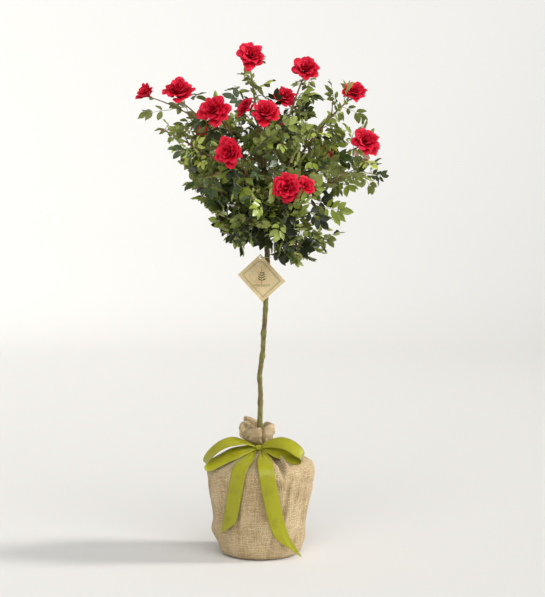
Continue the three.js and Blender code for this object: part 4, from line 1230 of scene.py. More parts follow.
def cloth_fold(angle, height):
    """How far the cloth stands out from the turned profile: its slow waves and the sack's sewn corner."""
    waves = sum(deep * math.sin(count * angle + shift)
                for deep, count, shift in ((0.45, 3, 0.6), (0.35, 7, 1.9), (0.3, 11, 0.4)))
    reach = along([(0, 0.6), (30, 2), (150, 4), (185, 3), (205, 1), (211, 0)], height)
    return waves * reach + 9 * lobe(angle, 186, 10) * bell(height, 46, 17)


# Creases of the sack's side: (angle in degrees, height, half height, slant, half width, depth).
CREASES = [
    (-118, 100, 64, 0.0018, 0.05, 3.4), (-84, 132, 40, -0.002, 0.035, 2.6), (-60, 120, 62, 0.0008, 0.05, 4.2),
    (-42, 132, 44, 0.003, 0.045, 3.6), (-25, 104, 72, -0.0012, 0.06, 4.2), (-8, 128, 50, 0.0016, 0.05, 3.2),
    (-146, 92, 48, 0.0035, 0.055, 3.8), (-164, 134, 40, 0.004, 0.06, 3.8), (-133, 140, 34, -0.002, 0.04, 2.6),
    (14, 118, 60, 0.0015, 0.06, 3.6), (36, 96, 56, -0.001, 0.05, 3.0), (68, 122, 60, 0.001, 0.06, 4.0),
    (101, 90, 62, -0.0014, 0.05, 3.4), (137, 118, 54, 0.001, 0.06, 3.8), (166, 96, 50, -0.001, 0.05, 3.4),
    (-100, 44, 26, 0.005, 0.07, 2.2), (-64, 36, 24, -0.006, 0.07, 2.2), (-34, 42, 28, 0.005, 0.07, 2.6),
    (-158, 44, 26, 0.009, 0.07, 3.0), (-10, 40, 26, -0.004, 0.07, 2.2), (84, 42, 26, 0.005, 0.07, 2.4),
]
# Folds of its top: (angle in degrees, inner radius, outer radius, turn with the radius, half width, depth).
TOP_FOLDS = [
    (-53, 24, 112, -0.0026, 0.085, 16.0), (-34, 22, 90, 0.001, 0.07, 4.0), (-18, 20, 104, -0.001, 0.08, 4.0),
    (6, 24, 96, 0.0015, 0.08, 4.6), (30, 20, 106, -0.001, 0.09, 5.0), (56, 22, 92, 0.001, 0.08, 4.2),
    (84, 20, 108, -0.0015, 0.08, 5.2), (112, 22, 94, 0.001, 0.09, 4.4), (140, 20, 106, 0.001, 0.08, 5.0),
    (168, 22, 98, -0.001, 0.09, 4.4), (196, 20, 106, 0.0012, 0.08, 4.8), (222, 24, 96, -0.001, 0.08, 4.4),
    (246, 20, 110, 0.0008, 0.07, 5.6), (268, 26, 84, -0.0006, 0.08, 3.8),
]


def turn_between(angle, other):
    return (angle - other + math.pi) % (2 * math.pi) - math.pi


def fold_depth(off, half_width):
    """A fold's section: a narrow valley with a softer ridge on one side of it."""
    at = off / half_width
    return math.exp(-(at * at)) - 0.45 * bell(at, 1.7, 1)


def side_creases(angle, height):
    """How deep the soft creases up the side of the sack are."""
    depth = 0.0
    for degrees, middle, reach, slant, half_width, deep in CREASES:
        off = turn_between(angle, math.radians(degrees) + slant * (height - middle))
        up = (height - middle) / reach
        if abs(up) < 1.6 and abs(off) < 5 * half_width:
            depth += deep * fold_depth(off, half_width) * math.exp(-(up ** 4))
    return depth


def top_folds(angle, radius):
    """How deep the folds that run from the neck over the top of the sack are."""
    depth = 0.0
    for degrees, inner, outer, swerve, half_width, deep in TOP_FOLDS:
        off = turn_between(angle, math.radians(degrees) + swerve * (radius - inner))
        along_it = (radius - inner) / (outer - inner)
        if -0.4 < along_it < 1.3 and abs(off) < 5 * half_width:
            swell = math.exp(-(((along_it - 0.45) / 0.5) ** 4))
            depth += deep * fold_depth(off, half_width * 60 / max(radius, 30)) * swell
    return depth


def crumple(place):
    """Crisp and soft dents of stiff cloth, in millimetres."""
    crisp = abs(noise.noise(place * 0.021 + Vector((3, 8, 1))))
    return (noise.noise(place * 0.02) * 2.2 + noise.noise(place * 0.055 + Vector((5, 5, 5))) * 0.9
            - 1.2 * bell(crisp, 0, 0.06))


def drawn_pleats(angle):
    """The close pleats of the cloth where the ribbon draws it in."""
    return math.sin(13 * angle + 1.2 * math.sin(3 * angle))


def sack_point(angle, radius, height):
    """A point of the sack, from the middle of its underside to its neck."""
    if height < 2 and radius < BASE_RADIUS + 4:
        return polar(radius, angle, height)
    out = radius + (cloth_fold(angle, height) if radius > 20 else 0)
    # The sack bulges to the left.
    bulge = along([(0, 2), (50, 6), (120, 8), (165, 7), (184, 2), (200, 0)], height)
    out += lobe(angle, 180, 2) * bulge
    dents = min(0.4, crumple(polar(100, angle, height)) - 1.2)
    rise = 0.0
    if height > SHOULDER_HEIGHT - 6:
        # The right shoulder stands a little higher and squarer than the left.
        square = 5 * max(0, math.cos(angle + 0.2)) ** 2 * bell(radius, 96, 16)
        rise = square - top_folds(angle, radius) * min(1, (height - SHOULDER_HEIGHT + 6) / 14)
        rise += dents * min(1, (radius - NECK_RADIUS) / 40) * 0.8
    if radius > BASE_RADIUS:
        below, dented = [min(1, max(0, (SHOULDER_HEIGHT + over - height) / 20)) for over in (16, 22)]
        out -= side_creases(angle, height) * below
        out += dents * (min(1, height / 25) * dented)
    if radius < 26:
        out += 1.5 * drawn_pleats(angle) * (26 - radius) / 10
    return polar(out, angle, max(0, height + rise))


def ruffle_point(angle, radius, height, share):
    """A point of the ruffle. share runs from 0 at the neck to 1 at the cloth's end inside the ruffle."""
    open_up = min(1, share / 0.32)
    rim = bell(share, 0.55, 0.3)
    # Five panels overlap round it: each stands proud at one edge and tucks under its neighbour.
    turned = angle + 0.16 * math.sin(2 * angle + 0.7)
    panel = (RUFFLE_LOBES * (turned + 1.336) / FULL_TURN) % 1
    drop = max(0, (panel - 0.9) / 0.1)
    proud = panel ** 0.8 * (1 - drop * drop * (3 - 2 * drop))
    out = radius + open_up * (9 * proud - 5)
    # Between two panels the cloth is nipped into a dark crease that notches the rim, most in front.
    nip = bell(min(panel, 1 - panel), 0, 0.075) * (0.5 + 0.5 * max(0, -math.sin(turned)))
    out -= 11 * open_up * nip
    # The cloth is crimped where it comes out of the neck, and each panel has a few soft ridges.
    out += (1 - open_up) * 1.3 * drawn_pleats(angle)
    out += 0.9 * bell(share, 0.22, 0.14) * math.sin(26 * angle + 2 * math.sin(4 * angle))
    out += 1.1 * open_up * math.sin(30 * share + 5 * math.sin(2 * angle + 1)) * (0.4 + 0.6 * panel)
    # The rim peaks at the back left, dips in front and rises again on the right.
    peaks = sum(tall * lobe(angle, at, power)
                for tall, at, power in ((13, 128, 3), (-5, -118, 2), (2.5, -20, 2)))
    lift = rim * (peaks + 7 * (proud - 0.5) - 13 * nip)
    x, y = out * math.cos(angle) - RUFFLE_LEAN * open_up, out * math.sin(angle)
    spot = Vector((x, y, height)) * 0.08
    return Vector((x + 1.6 * open_up * noise.noise(spot),
                   y + 1.6 * open_up * noise.noise(spot + Vector((9, 2, 4))),
                   height + lift + 1.2 * open_up * noise.noise(spot + Vector((1, 7, 3)))))


def burlap_material(cloth):
    """Jute burlap, plain woven from thick uneven yarn: matt, with slubs and see-through corners."""
    material, tree, flat = new_material("jute_burlap_woven", {
        "Roughness": 0.92, "IOR": 1.4, "Specular IOR Level": 0.25, "Sheen Weight": 0.15,
        "Sheen Roughness": 0.6}, uv=True)
    # The yarn wanders by a third of its spacing. The real yarn is 2 mm apart; here it is a little coarser,
    # so that the weave still shows from three metres away.
    wander = add_node(tree, "ShaderNodeTexNoise", links={
        "Vector": flat, "Scale": 70.0, "Detail": 2.0, "Roughness": 0.5}).outputs["Color"]
    level = add_node(tree, "ShaderNodeVectorMath", {"operation": "SUBTRACT"}, {0: wander, 1: (0.5, 0.5, 0.5)})
    shift = add_node(tree, "ShaderNodeVectorMath", {"operation": "SCALE"}, {
        "Vector": level, "Scale": 2.4 * cloth.thread_spacing})
    thread = add_node(tree, "ShaderNodeVectorMath", {"operation": "ADD"}, {0: flat, 1: shift})
    across, down = [add_node(tree, "ShaderNodeTexWave", {
        "wave_type": "BANDS", "bands_direction": direction, "wave_profile": "SIN"},
        {"Vector": thread, "Scale": WAVE_SCALE / cloth.thread_spacing}).outputs["Fac"]
        for direction in ("X", "Y")]
    over = add_node(tree, "ShaderNodeTexChecker", links={
        "Vector": thread, "Scale": 1 / cloth.thread_spacing,
        "Color1": (1, 1, 1, 1), "Color2": (0, 0, 0, 1)}).outputs["Fac"]
    # Slubs are long along the yarn, one set for each way of the cloth.
    slubs = [add_node(tree, "ShaderNodeTexNoise", links={
        "Vector": add_node(tree, "ShaderNodeMapping", links={"Vector": flat, "Scale": scale}),
        "Scale": 1.0, "Detail": 2.0}).outputs["Fac"] for scale in ((420, 30, 1), (30, 420, 1))]
    weave, slub = [add_node(tree, "ShaderNodeMix", {"data_type": "FLOAT"}, {
        FACTOR: over, VALUE_A: first, VALUE_B: second}) for first, second in ((across, down), slubs)]
    patch = add_node(tree, "ShaderNodeTexNoise", links={
        "Vector": flat, "Scale": 16.0, "Detail": 3.0, "Roughness": 0.6}).outputs["Fac"]
    tone, relief = [add_node(tree, "ShaderNodeMath", {"operation": "MULTIPLY_ADD"}, {
        0: first, 1: share, 2: second}) for first, share, second in ((patch, 0.5, slub), (slub, 0.6, weave))]
    yarn = add_node(tree, "ShaderNodeValToRGB", {
        "stops": [(0.6, cloth.burlap_dark), (0.88, cloth.burlap_light)]}, {"Fac": tone})
    gap = add_node(tree, "ShaderNodeMapRange", links={"Value": weave, "From Max": 0.32})
    colour = add_node(tree, "ShaderNodeMix", {"data_type": "RGBA"}, {
        FACTOR: gap, COLOUR_A: opaque(cloth.burlap_gap), COLOUR_B: yarn})
    return finish_shader(material, colour.outputs[MIXED_COLOUR], slub, (0.84, 0.98), (0.75, 0.0009), relief)


class ROSE_OT_sack(bpy.types.Operator):
    """The burlap sack, from its flat underside to the ruffle above its neck."""
    bl_idname = "rose.sack"
    bl_label = "Burlap Sack"

    def execute(self, context):
        cloth, columns = context.scene.rose_cloth, 240
        sack, sack_run = even_profile(SACK_PROFILE, 2.4)
        ruffle, ruffle_run = even_profile(RUFFLE_PROFILE, 1.5)
        rows = [(sack_point, (radius, height), length)
                for (radius, height), length in zip(sack[1:], sack_run[1:])]
        rows += [(ruffle_point, (radius, height, length / ruffle_run[-1]), sack_run[-1] + length)
                 for (radius, height), length in zip(ruffle[1:], ruffle_run[1:])]
        points, uv = [], []
        for place, values, length in rows:
            for column in range(columns + 1):
                angle = FULL_TURN * column / columns + math.pi / 2
                points.append(place(angle, *values) * MM)
                uv.append((column / columns * CLOTH_ROUND * MM, length * MM))
        faces = grid_faces(len(rows), columns + 1)
        faces += [(len(points), column + 1, column) for column in range(columns)]
        points.append(Vector((0, 0, 0)))
        uv.append((CLOTH_ROUND * MM / 2, 0.0))
        sack = new_piece("burlap_wrap", points, faces, uv=uv)
        # The two edges of the wrapped cloth join, but keep their own places in the flat cloth.
        rework(sack, lambda shape: bmesh.ops.remove_doubles(shape, verts=shape.verts, dist=1e-6))
        wall = sack.modifiers.new("cloth_thickness", "SOLIDIFY")
        wall.thickness, wall.offset = cloth.burlap_thickness, -1
        finish_piece(sack, ["burlap_sack", "burlap_ruffle"], burlap_material(cloth))
        return {"FINISHED"}


def rework(piece, change):
    """Changes a piece's mesh by a function of its bmesh."""
    shape = bmesh.new()
    shape.from_mesh(piece.data)
    change(shape)
    shape.to_mesh(piece.data)
    shape.free()


# ---------------------------------------------------------------- ribbon

KNOT = Vector((-5, -24, 217))
RIB_SPACING, EDGE_WIDTH, EDGE_SOFTNESS = 0.0012, 0.0011, 0.0005


def strip_grid(stations, half_width, columns):
    """Rows of points across a ribbon. A station is (point, way of its width, share that shows, share cut
    away from its first edge, or if negative from its last)."""
    rows, uv, length = [], [], 0.0
    for index, (point, width, share, cut) in enumerate(stations):
        before, after = stations[max(index - 1, 0)][0], stations[min(index + 1, len(stations) - 1)][0]
        heading = (after - before).normalized()
        wide = (width - heading * width.dot(heading)).normalized()
        thick = heading.cross(wide)
        length += (point - before).length
        for place in places_across(columns):
            across = place * (1 - abs(cut)) + cut
            # Where the ribbon is drawn in it folds over itself, and where it is free it bows a little.
            tucks = (1 - share) * 2.8 * math.sin(2.5 * math.pi * across + 0.6)
            bow = share * (1 - across * across) * 1.1 + 0.5 * share * math.sin(0.06 * length + 2 * across)
            rows.append((point + wide * across * share * half_width + thick * (bow + tucks)) * MM)
            uv.append((across * half_width * MM, length * MM))
    return rows, uv, length


def bow_loop(side, foot, reach, rise, drop, swell, way, back, steps=72):
    """A bow's loop: out along its upper run, round its end and back along its lower one. The ribbon's
    width turns from way to back on its course."""
    stations = []
    for i in range(steps + 1):
        turn = lerp(0.07, 0.93, i / steps) * 2 * math.pi
        out = (1 - math.cos(turn)) / 2
        height = math.sin(turn) * swell * math.sqrt(out) + rise * math.sin(math.pi * out) - drop * out * out
        point = Vector((KNOT.x + side * (foot + (reach - foot) * out), KNOT.y + 0.5 - 38 * out,
                        KNOT.z + 1.5 + height))
        wide = Vector(way).lerp(Vector(back), i / steps)
        stations.append((point, wide, lerp(0.32, 1, min(1, 2.3 * out)), 0.0))
    return stations


LEFT_TAIL = [(31, 210.4, -11, 0.25), (40, 208.4, -16, 0.4), (54, 205.2, -22, 0.65), (78, 199, -31, 1),
             (98, 193, -38, 1), (110, 181, -43, 1), (111.2, 160, -47, 1), (108.6, 130, -53, 1),
             (105, 100, -58, 1), (102, 72, -64, 1), (101, 50, -68, 1)]
RIGHT_TAIL = [(31, 211, 0.5, 0.25), (40, 209.5, 3, 0.4), (54, 206.8, 4.5, 0.65), (78, 201.4, 7, 0.95),
              (99, 194.6, 9, 1), (111.6, 181, 12, 1), (113.4, 160, 15, 1), (111, 130, 21, 1),
              (108, 100, 27, 1), (106, 70, 35, 0.95), (104, 44, 46, 0.85), (100, 20, 60, 0.8),
              (98, -4, 75, 0.7)]


def smooth_route(route, steps):
    """A finer route through the same places, as a smooth curve."""
    keys = np.array([route[0], *route, route[-1]], float)
    made = []
    for place in np.linspace(0, len(route) - 1, steps):
        i = min(int(place), len(route) - 2)
        f = place - i
        p0, p1, p2, p3 = keys[i:i + 4]
        made.append(0.5 * (2 * p1 + (p2 - p0) * f + (2 * p0 - 5 * p1 + 4 * p2 - p3) * f ** 2
                           + (3 * p1 - p0 - 3 * p2 + p3) * f ** 3))
    return made


def ribbon_tail(route, hand, slant, steps=84):
    """A tail runs over the top of the sack from the knot, hangs down its front and is cut on a slant."""
    stations = []
    for index, (radius, height, x, share) in enumerate(smooth_route(route, steps)):
        angle = -math.acos(max(-1, min(1, x / radius)))
        point = Vector((x, radius * math.sin(angle), height))
        cut = max(0, 1 - (steps - 1 - index) / slant) * 0.97
        stations.append((point, Vector((-math.sin(angle), math.cos(angle), 0)), min(1, share), hand * cut))
    return stations


def ribbon_material(cloth):
    """Polyester satin ribbon, woven: long floats that shine along its length, with a woven edge."""
    material, tree, flat = new_material("satin_ribbon_woven", {
        "Roughness": 0.42, "IOR": 1.5, "Sheen Weight": 0.12, "Sheen Roughness": 0.35, "Anisotropic": 0.4,
        "Specular IOR Level": 0.45}, uv=True)
    # Ribs across the ribbon are 0.5 mm apart in the real weave and drawn at 1.2 mm, so that they show.
    ribs = add_node(tree, "ShaderNodeTexWave", {"wave_type": "BANDS", "bands_direction": "Y"}, {
        "Vector": flat, "Scale": WAVE_SCALE / RIB_SPACING, "Distortion": 0.6}).outputs["Fac"]
    # Painted shade: the satin's darker colour lies in soft random patches over its face.
    cloudy = add_node(tree, "ShaderNodeTexNoise", links={
        "Vector": flat, "Scale": 45.0, "Detail": 3.0, "Roughness": 0.55})
    satin = add_node(tree, "ShaderNodeValToRGB", {
        "stops": [(0.12, cloth.ribbon_painted_shade_and_edge), (0.5, cloth.ribbon_face)]}, {"Fac": cloudy})
    aside = add_node(tree, "ShaderNodeMath", {"operation": "ABSOLUTE"}, {
        0: add_node(tree, "ShaderNodeSeparateXYZ", links={"Vector": flat})})
    rim = cloth.ribbon_width / 2 - EDGE_WIDTH
    edge = add_node(tree, "ShaderNodeMapRange", links={
        "Value": aside, "From Min": rim - EDGE_SOFTNESS, "From Max": rim, "To Max": 0.55})
    colour = add_node(tree, "ShaderNodeMix", {"data_type": "RGBA"}, {
        FACTOR: edge, COLOUR_A: satin, COLOUR_B: opaque(cloth.ribbon_painted_shade_and_edge)})
    return finish_shader(material, colour.outputs[MIXED_COLOUR], ribs, (0.36, 0.5), (0.35, 0.0002))


class ROSE_OT_ribbon(bpy.types.Operator):
    """The ribbon: its band round the neck, the knot, two loops and two tails."""
    bl_idname = "rose.ribbon"
    bl_label = "Ribbon Bow"

    def execute(self, context):
        cloth, columns = context.scene.rose_cloth, 15
        runs = [strip_grid(stations, cloth.ribbon_width / MM / 2, columns) for stations in (
            bow_loop(-1, 2.8, 106, 8, 26, 19, (-0.1, 0.95, 0.3), (-0.1, 0.74, 0.67)),
            bow_loop(1, 4.2, 84, 6, 13, 14, (0.1, 0.85, 0.55), (0.1, 0.72, 0.69)),
            ribbon_tail(LEFT_TAIL, -1, 12), ribbon_tail(RIGHT_TAIL, 1, 18))]
        strips = [(rows, spots, columns) for rows, spots, _ in runs]
        strips += [ring_grid(knot_point, 28, 17, 0.006), ring_grid(band_point, 72, 13, 0.017)]
        points, faces, uv = [], [], []
        for rows, spots, across in strips:
            faces += grid_faces(len(rows) // across, across, start=len(points))
            points += rows
            uv += spots
        ribbon = new_piece("ribbon_bow", points, faces, uv=uv)
        wall = ribbon.modifiers.new("ribbon_thickness", "SOLIDIFY")
        wall.thickness, wall.offset = cloth.ribbon_thickness, 0
        parts = ("band", "knot", "loop_left", "loop_right", "tail_left", "tail_right")
        finish_piece(ribbon, [f"ribbon_{part}" for part in parts], ribbon_material(cloth))
        # 160 mm of ribbon more are in the turns inside the knot.
        return {"FINISHED"}


def knot_point(turn, across):
    """A point of the ribbon's turn over the knot: a plump ring round the two runs, folded lengthwise."""
    plump = math.sqrt(max(0, 1 - 0.86 * across * across))
    crimp = 0.5 * math.sin(3.2 * math.pi * across + 0.8 * math.sin(turn))
    return Vector((KNOT.x + 7.4 * across, KNOT.y + 0.2 - (4.6 * plump + crimp) * math.cos(turn),
                   KNOT.z + 0.8 + (6.6 * plump + crimp) * math.sin(turn)))


def band_point(turn, across):
    """A point of the ribbon round the neck, drawn into wrinkles that run round it."""
    crimp = 0.45 * math.sin(2.5 * math.pi * across + 1.2 * math.sin(2 * turn))
    return polar(NECK_RADIUS + 1.4 + crimp - 0.5 * across * across, turn, NECK_HEIGHT + 0.5 + 4.4 * across)


def ring_grid(place, steps, columns, ribbon_round):
    """Rows of points round a ring of ribbon, with their places in the flat ribbon and their count."""
    rows, uv = [], []
    for step in range(steps + 1):
        turn = FULL_TURN * step / steps
        for across in places_across(columns):
            rows.append(place(turn, across) * MM)
            uv.append((across * 0.016, turn * ribbon_round))
    return rows, uv, columns


# ---------------------------------------------------------------- tag

TAG_LONG, TAG_SHORT, TAG_THICK, TAG_TURN = 74, 62, 1.0, -0.83
TAG_HALF_LONG, TAG_HALF_SHORT, TAG_CORNER, TAG_BOW = TAG_LONG / 2, TAG_SHORT / 2, 0.8, 0.7
TAG_MIDDLE = Vector((1, -7, 558))
TAG_HOLE_RADIUS, TAG_HOLE_INSET, TIE_RADIUS, CLEAR = 2.6, 5, 0.7, 0.3
TAG_HOLE = (-TAG_HALF_LONG + TAG_HOLE_INSET, TAG_HALF_SHORT - TAG_HOLE_INSET)
PLY_RADIUS, PLY_OFFSET, PLY_TWISTS = 0.4, 0.34, 17
INK_MARGIN, INK_LOW, INK_HIGH = 7, -0.06, 0.05


def tag_place(x, z, depth):
    """A place on the tag, from its middle: along its long edge, its short one, and into it."""
    cos, sin = math.cos(TAG_TURN), math.sin(TAG_TURN)
    bow = TAG_BOW * (x / TAG_HALF_LONG) ** 2 - TAG_BOW / 2
    return Vector((TAG_MIDDLE.x + x * cos - z * sin, TAG_MIDDLE.y + depth + bow * 0.4,
                   TAG_MIDDLE.z + x * sin + z * cos))


def card_outline():
    """The card's outline with softened corners, and the hole's."""
    corners = []
    for sx, sz, first in ((1, 1, 0), (-1, 1, 90), (-1, -1, 180), (1, -1, 270)):
        for turn in [math.radians(first + 30 * step) for step in range(4)]:
            corners.append((sx * (TAG_HALF_LONG - TAG_CORNER) + TAG_CORNER * math.cos(turn),
                            sz * (TAG_HALF_SHORT - TAG_CORNER) + TAG_CORNER * math.sin(turn)))
    hole = [(TAG_HOLE[0] + TAG_HOLE_RADIUS * math.cos(turn), TAG_HOLE[1] + TAG_HOLE_RADIUS * math.sin(turn))
            for turn in [FULL_TURN * i / 28 for i in range(28)]]
    return corners, hole


def tag_card():
    """The card: its two faces filled between outline and hole, with walls round both."""
    shape = bmesh.new()
    corners, hole = card_outline()
    for outline in (corners, hole):
        ring = [shape.verts.new((x, 0, z)) for x, z in outline]
        for i, vert in enumerate(ring):
            shape.edges.new((vert, ring[(i + 1) % len(ring)]))
    bmesh.ops.triangle_fill(shape, edges=shape.edges[:], use_beauty=True, use_dissolve=False)
    bmesh.ops.subdivide_edges(shape, edges=shape.edges[:], cuts=1)
    made = bmesh.ops.extrude_face_region(shape, geom=shape.faces[:])
    for vert in [v for v in made["geom"] if isinstance(v, bmesh.types.BMVert)]:
        vert.co.y += TAG_THICK
    bmesh.ops.recalc_face_normals(shape, faces=shape.faces[:])
    for vert in shape.verts:
        vert.co = tag_place(vert.co.x, vert.co.z, vert.co.y) * MM
    card = new_piece("tag_card", [])
    shape.to_mesh(card.data)
    shape.free()
    return card


def ink_strokes():
    """The print as strokes: a double rule round the card, and a sprig of leaves over a ground line."""
    strokes = []
    for inset, width in ((0, 0.55), (1.8, 0.3)):
        x, z = TAG_HALF_LONG - INK_MARGIN - inset, TAG_HALF_SHORT - INK_MARGIN - inset
        # The rule passes the card's hole on a slant.
        box = [(-x, z - 7), (-x, -z), (x, -z), (x, z), (-x + 7, z)]
        strokes += [(a, b, width, width) for a, b in zip(box, box[1:] + box[:1])]

    # The sprig stands upright on the hanging card, so it turns against the card's own turn.
    cos, sin = math.cos(-TAG_TURN), math.sin(-TAG_TURN)

    def line(*ends, wide, thin):
        first, last = [(x * cos - z * sin, x * sin + z * cos) for x, z in ends]
        strokes.append((first, last, wide, thin))

    stem = [(0, -13), (0.8, -6), (0.2, 1), (1.2, 8), (0.6, 15)]
    for i, (a, b) in enumerate(zip(stem, stem[1:])):
        line(a, b, wide=0.9 - 0.15 * i, thin=0.75 - 0.15 * i)
    for i, (x, z) in enumerate(((0.8, -5), (0.4, 0), (0.7, 5), (1.1, 9.5))):
        reach = 8.5 - 1.2 * i
        for hand in (-1, 1):
            middle = (x + hand * reach * 0.55, z + 0.24 * reach)
            line((x, z), middle, wide=0.4, thin=2.6)
            line(middle, (x + hand * reach, z + 0.62 * reach), wide=2.6, thin=0.2)
    line((0.6, 15), (0.4, 18.5), wide=2.0, thin=0.2)
    line((-17, -14), (17, -14), wide=0.9, thin=0.9)
    line((-10, -16.6), (10, -16.6), wide=0.4, thin=0.4)
    return strokes


def tag_print():
    """The strokes of the print as a thin raised layer on the card's front."""
    points, faces = [], []
    for (ax, az), (bx, bz), wide_a, wide_b in ink_strokes():
        way = Vector((bx - ax, bz - az, 0))
        side = Vector((-way.y, way.x, 0)).normalized()
        steps = max(1, int(way.length / 4))
        first = len(points)
        for step in range(steps + 1):
            share = step / steps
            x, z, half = lerp(ax, bx, share), lerp(az, bz, share), lerp(wide_a, wide_b, share) / 2
            points += [tag_place(x + side.x * hand * half, z + side.y * hand * half, depth) * MM
                       for depth in (INK_LOW, INK_HIGH) for hand in (-1, 1)]
        last = first + 4 * steps
        for a in range(first, last, 4):
            b = a + 4
            faces += [(a, a + 1, b + 1, b), (a + 2, b + 2, b + 3, a + 3), (a, b, b + 2, a + 2),
                      (a + 1, a + 3, b + 3, b + 1)]
        faces += [(first, first + 2, first + 3, first + 1), (last, last + 1, last + 3, last + 2)]
    piece = new_piece("tag_print", points, faces, smooth=False)
    rework(piece, lambda shape: bmesh.ops.recalc_face_normals(shape, faces=shape.faces[:]))
    return piece


def tie_lines():
    """Two plies of twine, twisted round each other, through the hole and round the trunk."""
    hole = tag_place(*TAG_HOLE, TAG_THICK / 2)
    middle = trunk_middle(hole.z)
    room = trunk_radius(hole.z) + TIE_RADIUS + 2 * CLEAR
    across = Vector((middle.x - hole.x, middle.y - hole.y, 0))
    half, toward = (across.length + room) / 2, across.normalized()
    centre = hole + toward * half
    other = Vector((-toward.y, toward.x, 0))
    narrow = math.sqrt(half * room) + 0.4
    lines, steps = [], 160
    for ply in range(2):
        points = []
        for turn in [FULL_TURN * i / steps for i in range(steps + 1)]:
            point = centre - toward * half * math.cos(turn) + other * narrow * math.sin(turn)
            out = (toward * -math.cos(turn) * narrow + other * math.sin(turn) * half).normalized()
            phase = PLY_TWISTS * turn + math.pi * ply
            points.append(point + (out * math.cos(phase) + UP * math.sin(phase)) * PLY_OFFSET)
        lines.append((points, [PLY_RADIUS] * len(points)))
    return lines


def card_material(cloth):
    """Kraft card, pressed from unbleached pulp: matt, with short fibres and a faint cloudiness."""
    material, tree, place = new_material("kraft_card_pressed", {"Roughness": 0.85, "IOR": 1.45})
    # Fibres are 2 mm long and a tenth as wide, laid along the card.
    mapped = add_node(tree, "ShaderNodeMapping", links={
        "Vector": place, "Rotation": (0, TAG_TURN, 0), "Scale": (1, 1, 6)})
    fibres = add_node(tree, "ShaderNodeTexNoise", links={
        "Vector": mapped, "Scale": 500.0, "Detail": 3.0, "Roughness": 0.7})
    cloud = add_node(tree, "ShaderNodeTexNoise", links={"Vector": place, "Scale": 60.0, "Detail": 3.0})
    tone = add_node(tree, "ShaderNodeMath", {"operation": "MULTIPLY_ADD"}, {0: cloud, 1: 0.5, 2: fibres})
    pulp = add_node(tree, "ShaderNodeValToRGB", {
        "stops": [(0.55, cloth.card_fleck), (0.85, cloth.card_face)]}, {"Fac": tone})
    return finish_shader(material, pulp.outputs[0], fibres, (0.78, 0.92), (0.3, 0.0002))


def fibre_material(name, colour, scale, height):
    """A dull fibrous surface, such as hemp twine as spun or ink as it dries into card."""
    grain = (scale, 3, 0.65)
    return mottled_material(name, {"Roughness": 0.88, "IOR": 1.45}, shades_of(colour, 0.72, 1.2), (0.3, 0.7),
                            grain, grain, (0.75, 0.95), (0.5, height))


class ROSE_OT_tag(bpy.types.Operator):
    """The card tag with its print, and the twine that ties it to the trunk."""
    bl_idname = "rose.tag"
    bl_label = "Tag"

    def execute(self, context):
        cloth = context.scene.rose_cloth
        finish_piece(tag_card(), ["tag"], card_material(cloth))
        finish_piece(tag_print(), (),
                     fibre_material("brown_ink_printed", cloth.ink, 900.0, 0.0001))
        twine = fibre_material("hemp_twine_spun", cloth.twine, 1500.0, 0.0002)
        limbs_piece("tag_twine", tie_lines(), {
            "Sides": 7, "Relief": 0.0001, "Relief Scale": 900.0, "Seed": 3, "Material": twine}, ["tag_tie"])
        return {"FINISHED"}


# ---------------------------------------------------------------- stage

STAGE_FLAT, STAGE_BEND, STAGE_RIM, STAGE_SLOPE = 3.6, 2.5, 7.6, math.radians(40)
STAGE_DROP = 0.0004  # the paper lies this far under the sack
CAMERA_PLACE, CAMERA_DIP, CAMERA_LENS, CAMERA_SENSOR = (0.023, -3.2, 0.78), 4.71, 96.48, 36.0
WARM_WHITE = (1, 0.998, 0.992, 1)


def stage_material(stage):
    """Seamless paper, rolled: matt and even, with a faint tooth, and glowing where it rises, as painted light
    with no lamp behind it.
    """
    material, tree, place = new_material("seamless_paper_rolled", {
        "Roughness": 0.8, "Specular IOR Level": 0.2, "Emission Color": (1, 0.995, 0.985, 1)})
    height = add_node(tree, "ShaderNodeSeparateXYZ", links={"Vector": place}).outputs["Z"]
    rise = add_node(tree, "ShaderNodeMapRange", {"interpolation_type": "SMOOTHSTEP"}, {
        "Value": height, "From Max": 0.5})
    colour = add_node(tree, "ShaderNodeMix", {"data_type": "RGBA"}, {
        FACTOR: rise, COLOUR_A: opaque(stage.floor), COLOUR_B: opaque(stage.backdrop)})
    # Painted light: the rising paper glows by itself.
    glow = add_node(tree, "ShaderNodeMath", {"operation": "MULTIPLY"}, {0: rise, 1: stage.backdrop_painted_glow})
    tree.links.new(glow.outputs[0], tree.nodes[SHADER].inputs["Emission Strength"])
    tooth = add_node(tree, "ShaderNodeTexNoise", links={"Vector": place, "Scale": 120.0, "Detail": 2.0})
    return finish_shader(material, colour.outputs[MIXED_COLOUR], tooth, (0.78, 0.82), (0.05, 0.0005))


def sweep_mesh():
    """A round floor that rises into a backdrop on every side, beyond the camera's place."""
    columns = 96
    turns = [STAGE_SLOPE * step / 12 for step in range(13)]
    profile = [(0.7, 0.0), (2.0, 0.0)]
    profile += [(STAGE_FLAT + STAGE_BEND * math.sin(t), STAGE_BEND * (1 - math.cos(t))) for t in turns]
    radius, height = profile[-1]
    profile.append((STAGE_RIM, height + (STAGE_RIM - radius) * math.tan(STAGE_SLOPE)))
    points = [polar(radius, FULL_TURN * c / columns, height - STAGE_DROP)
              for radius, height in profile for c in range(columns)]
    points.append(Vector((0, 0, -STAGE_DROP)))
    faces = [face[::-1] for face in grid_faces(len(profile), columns, closed=True)]
    faces += [(len(points) - 1, c, (c + 1) % columns) for c in range(columns)]
    return new_piece("paper_sweep", points, faces)


def add_sun(name, strength, place, spread, colour):
    """A sun that shines from a place to the origin, its light spread over an angle in degrees."""
    data = bpy.data.lights.new(name, "SUN")
    data.energy, data.angle, data.color = strength, math.radians(spread), colour
    lamp = bpy.data.objects.new(name, data)
    lamp.location = place
    lamp.rotation_euler = (-Vector(place)).to_track_quat("-Z", "Y").to_euler()
    bpy.context.scene.collection.objects.link(lamp)


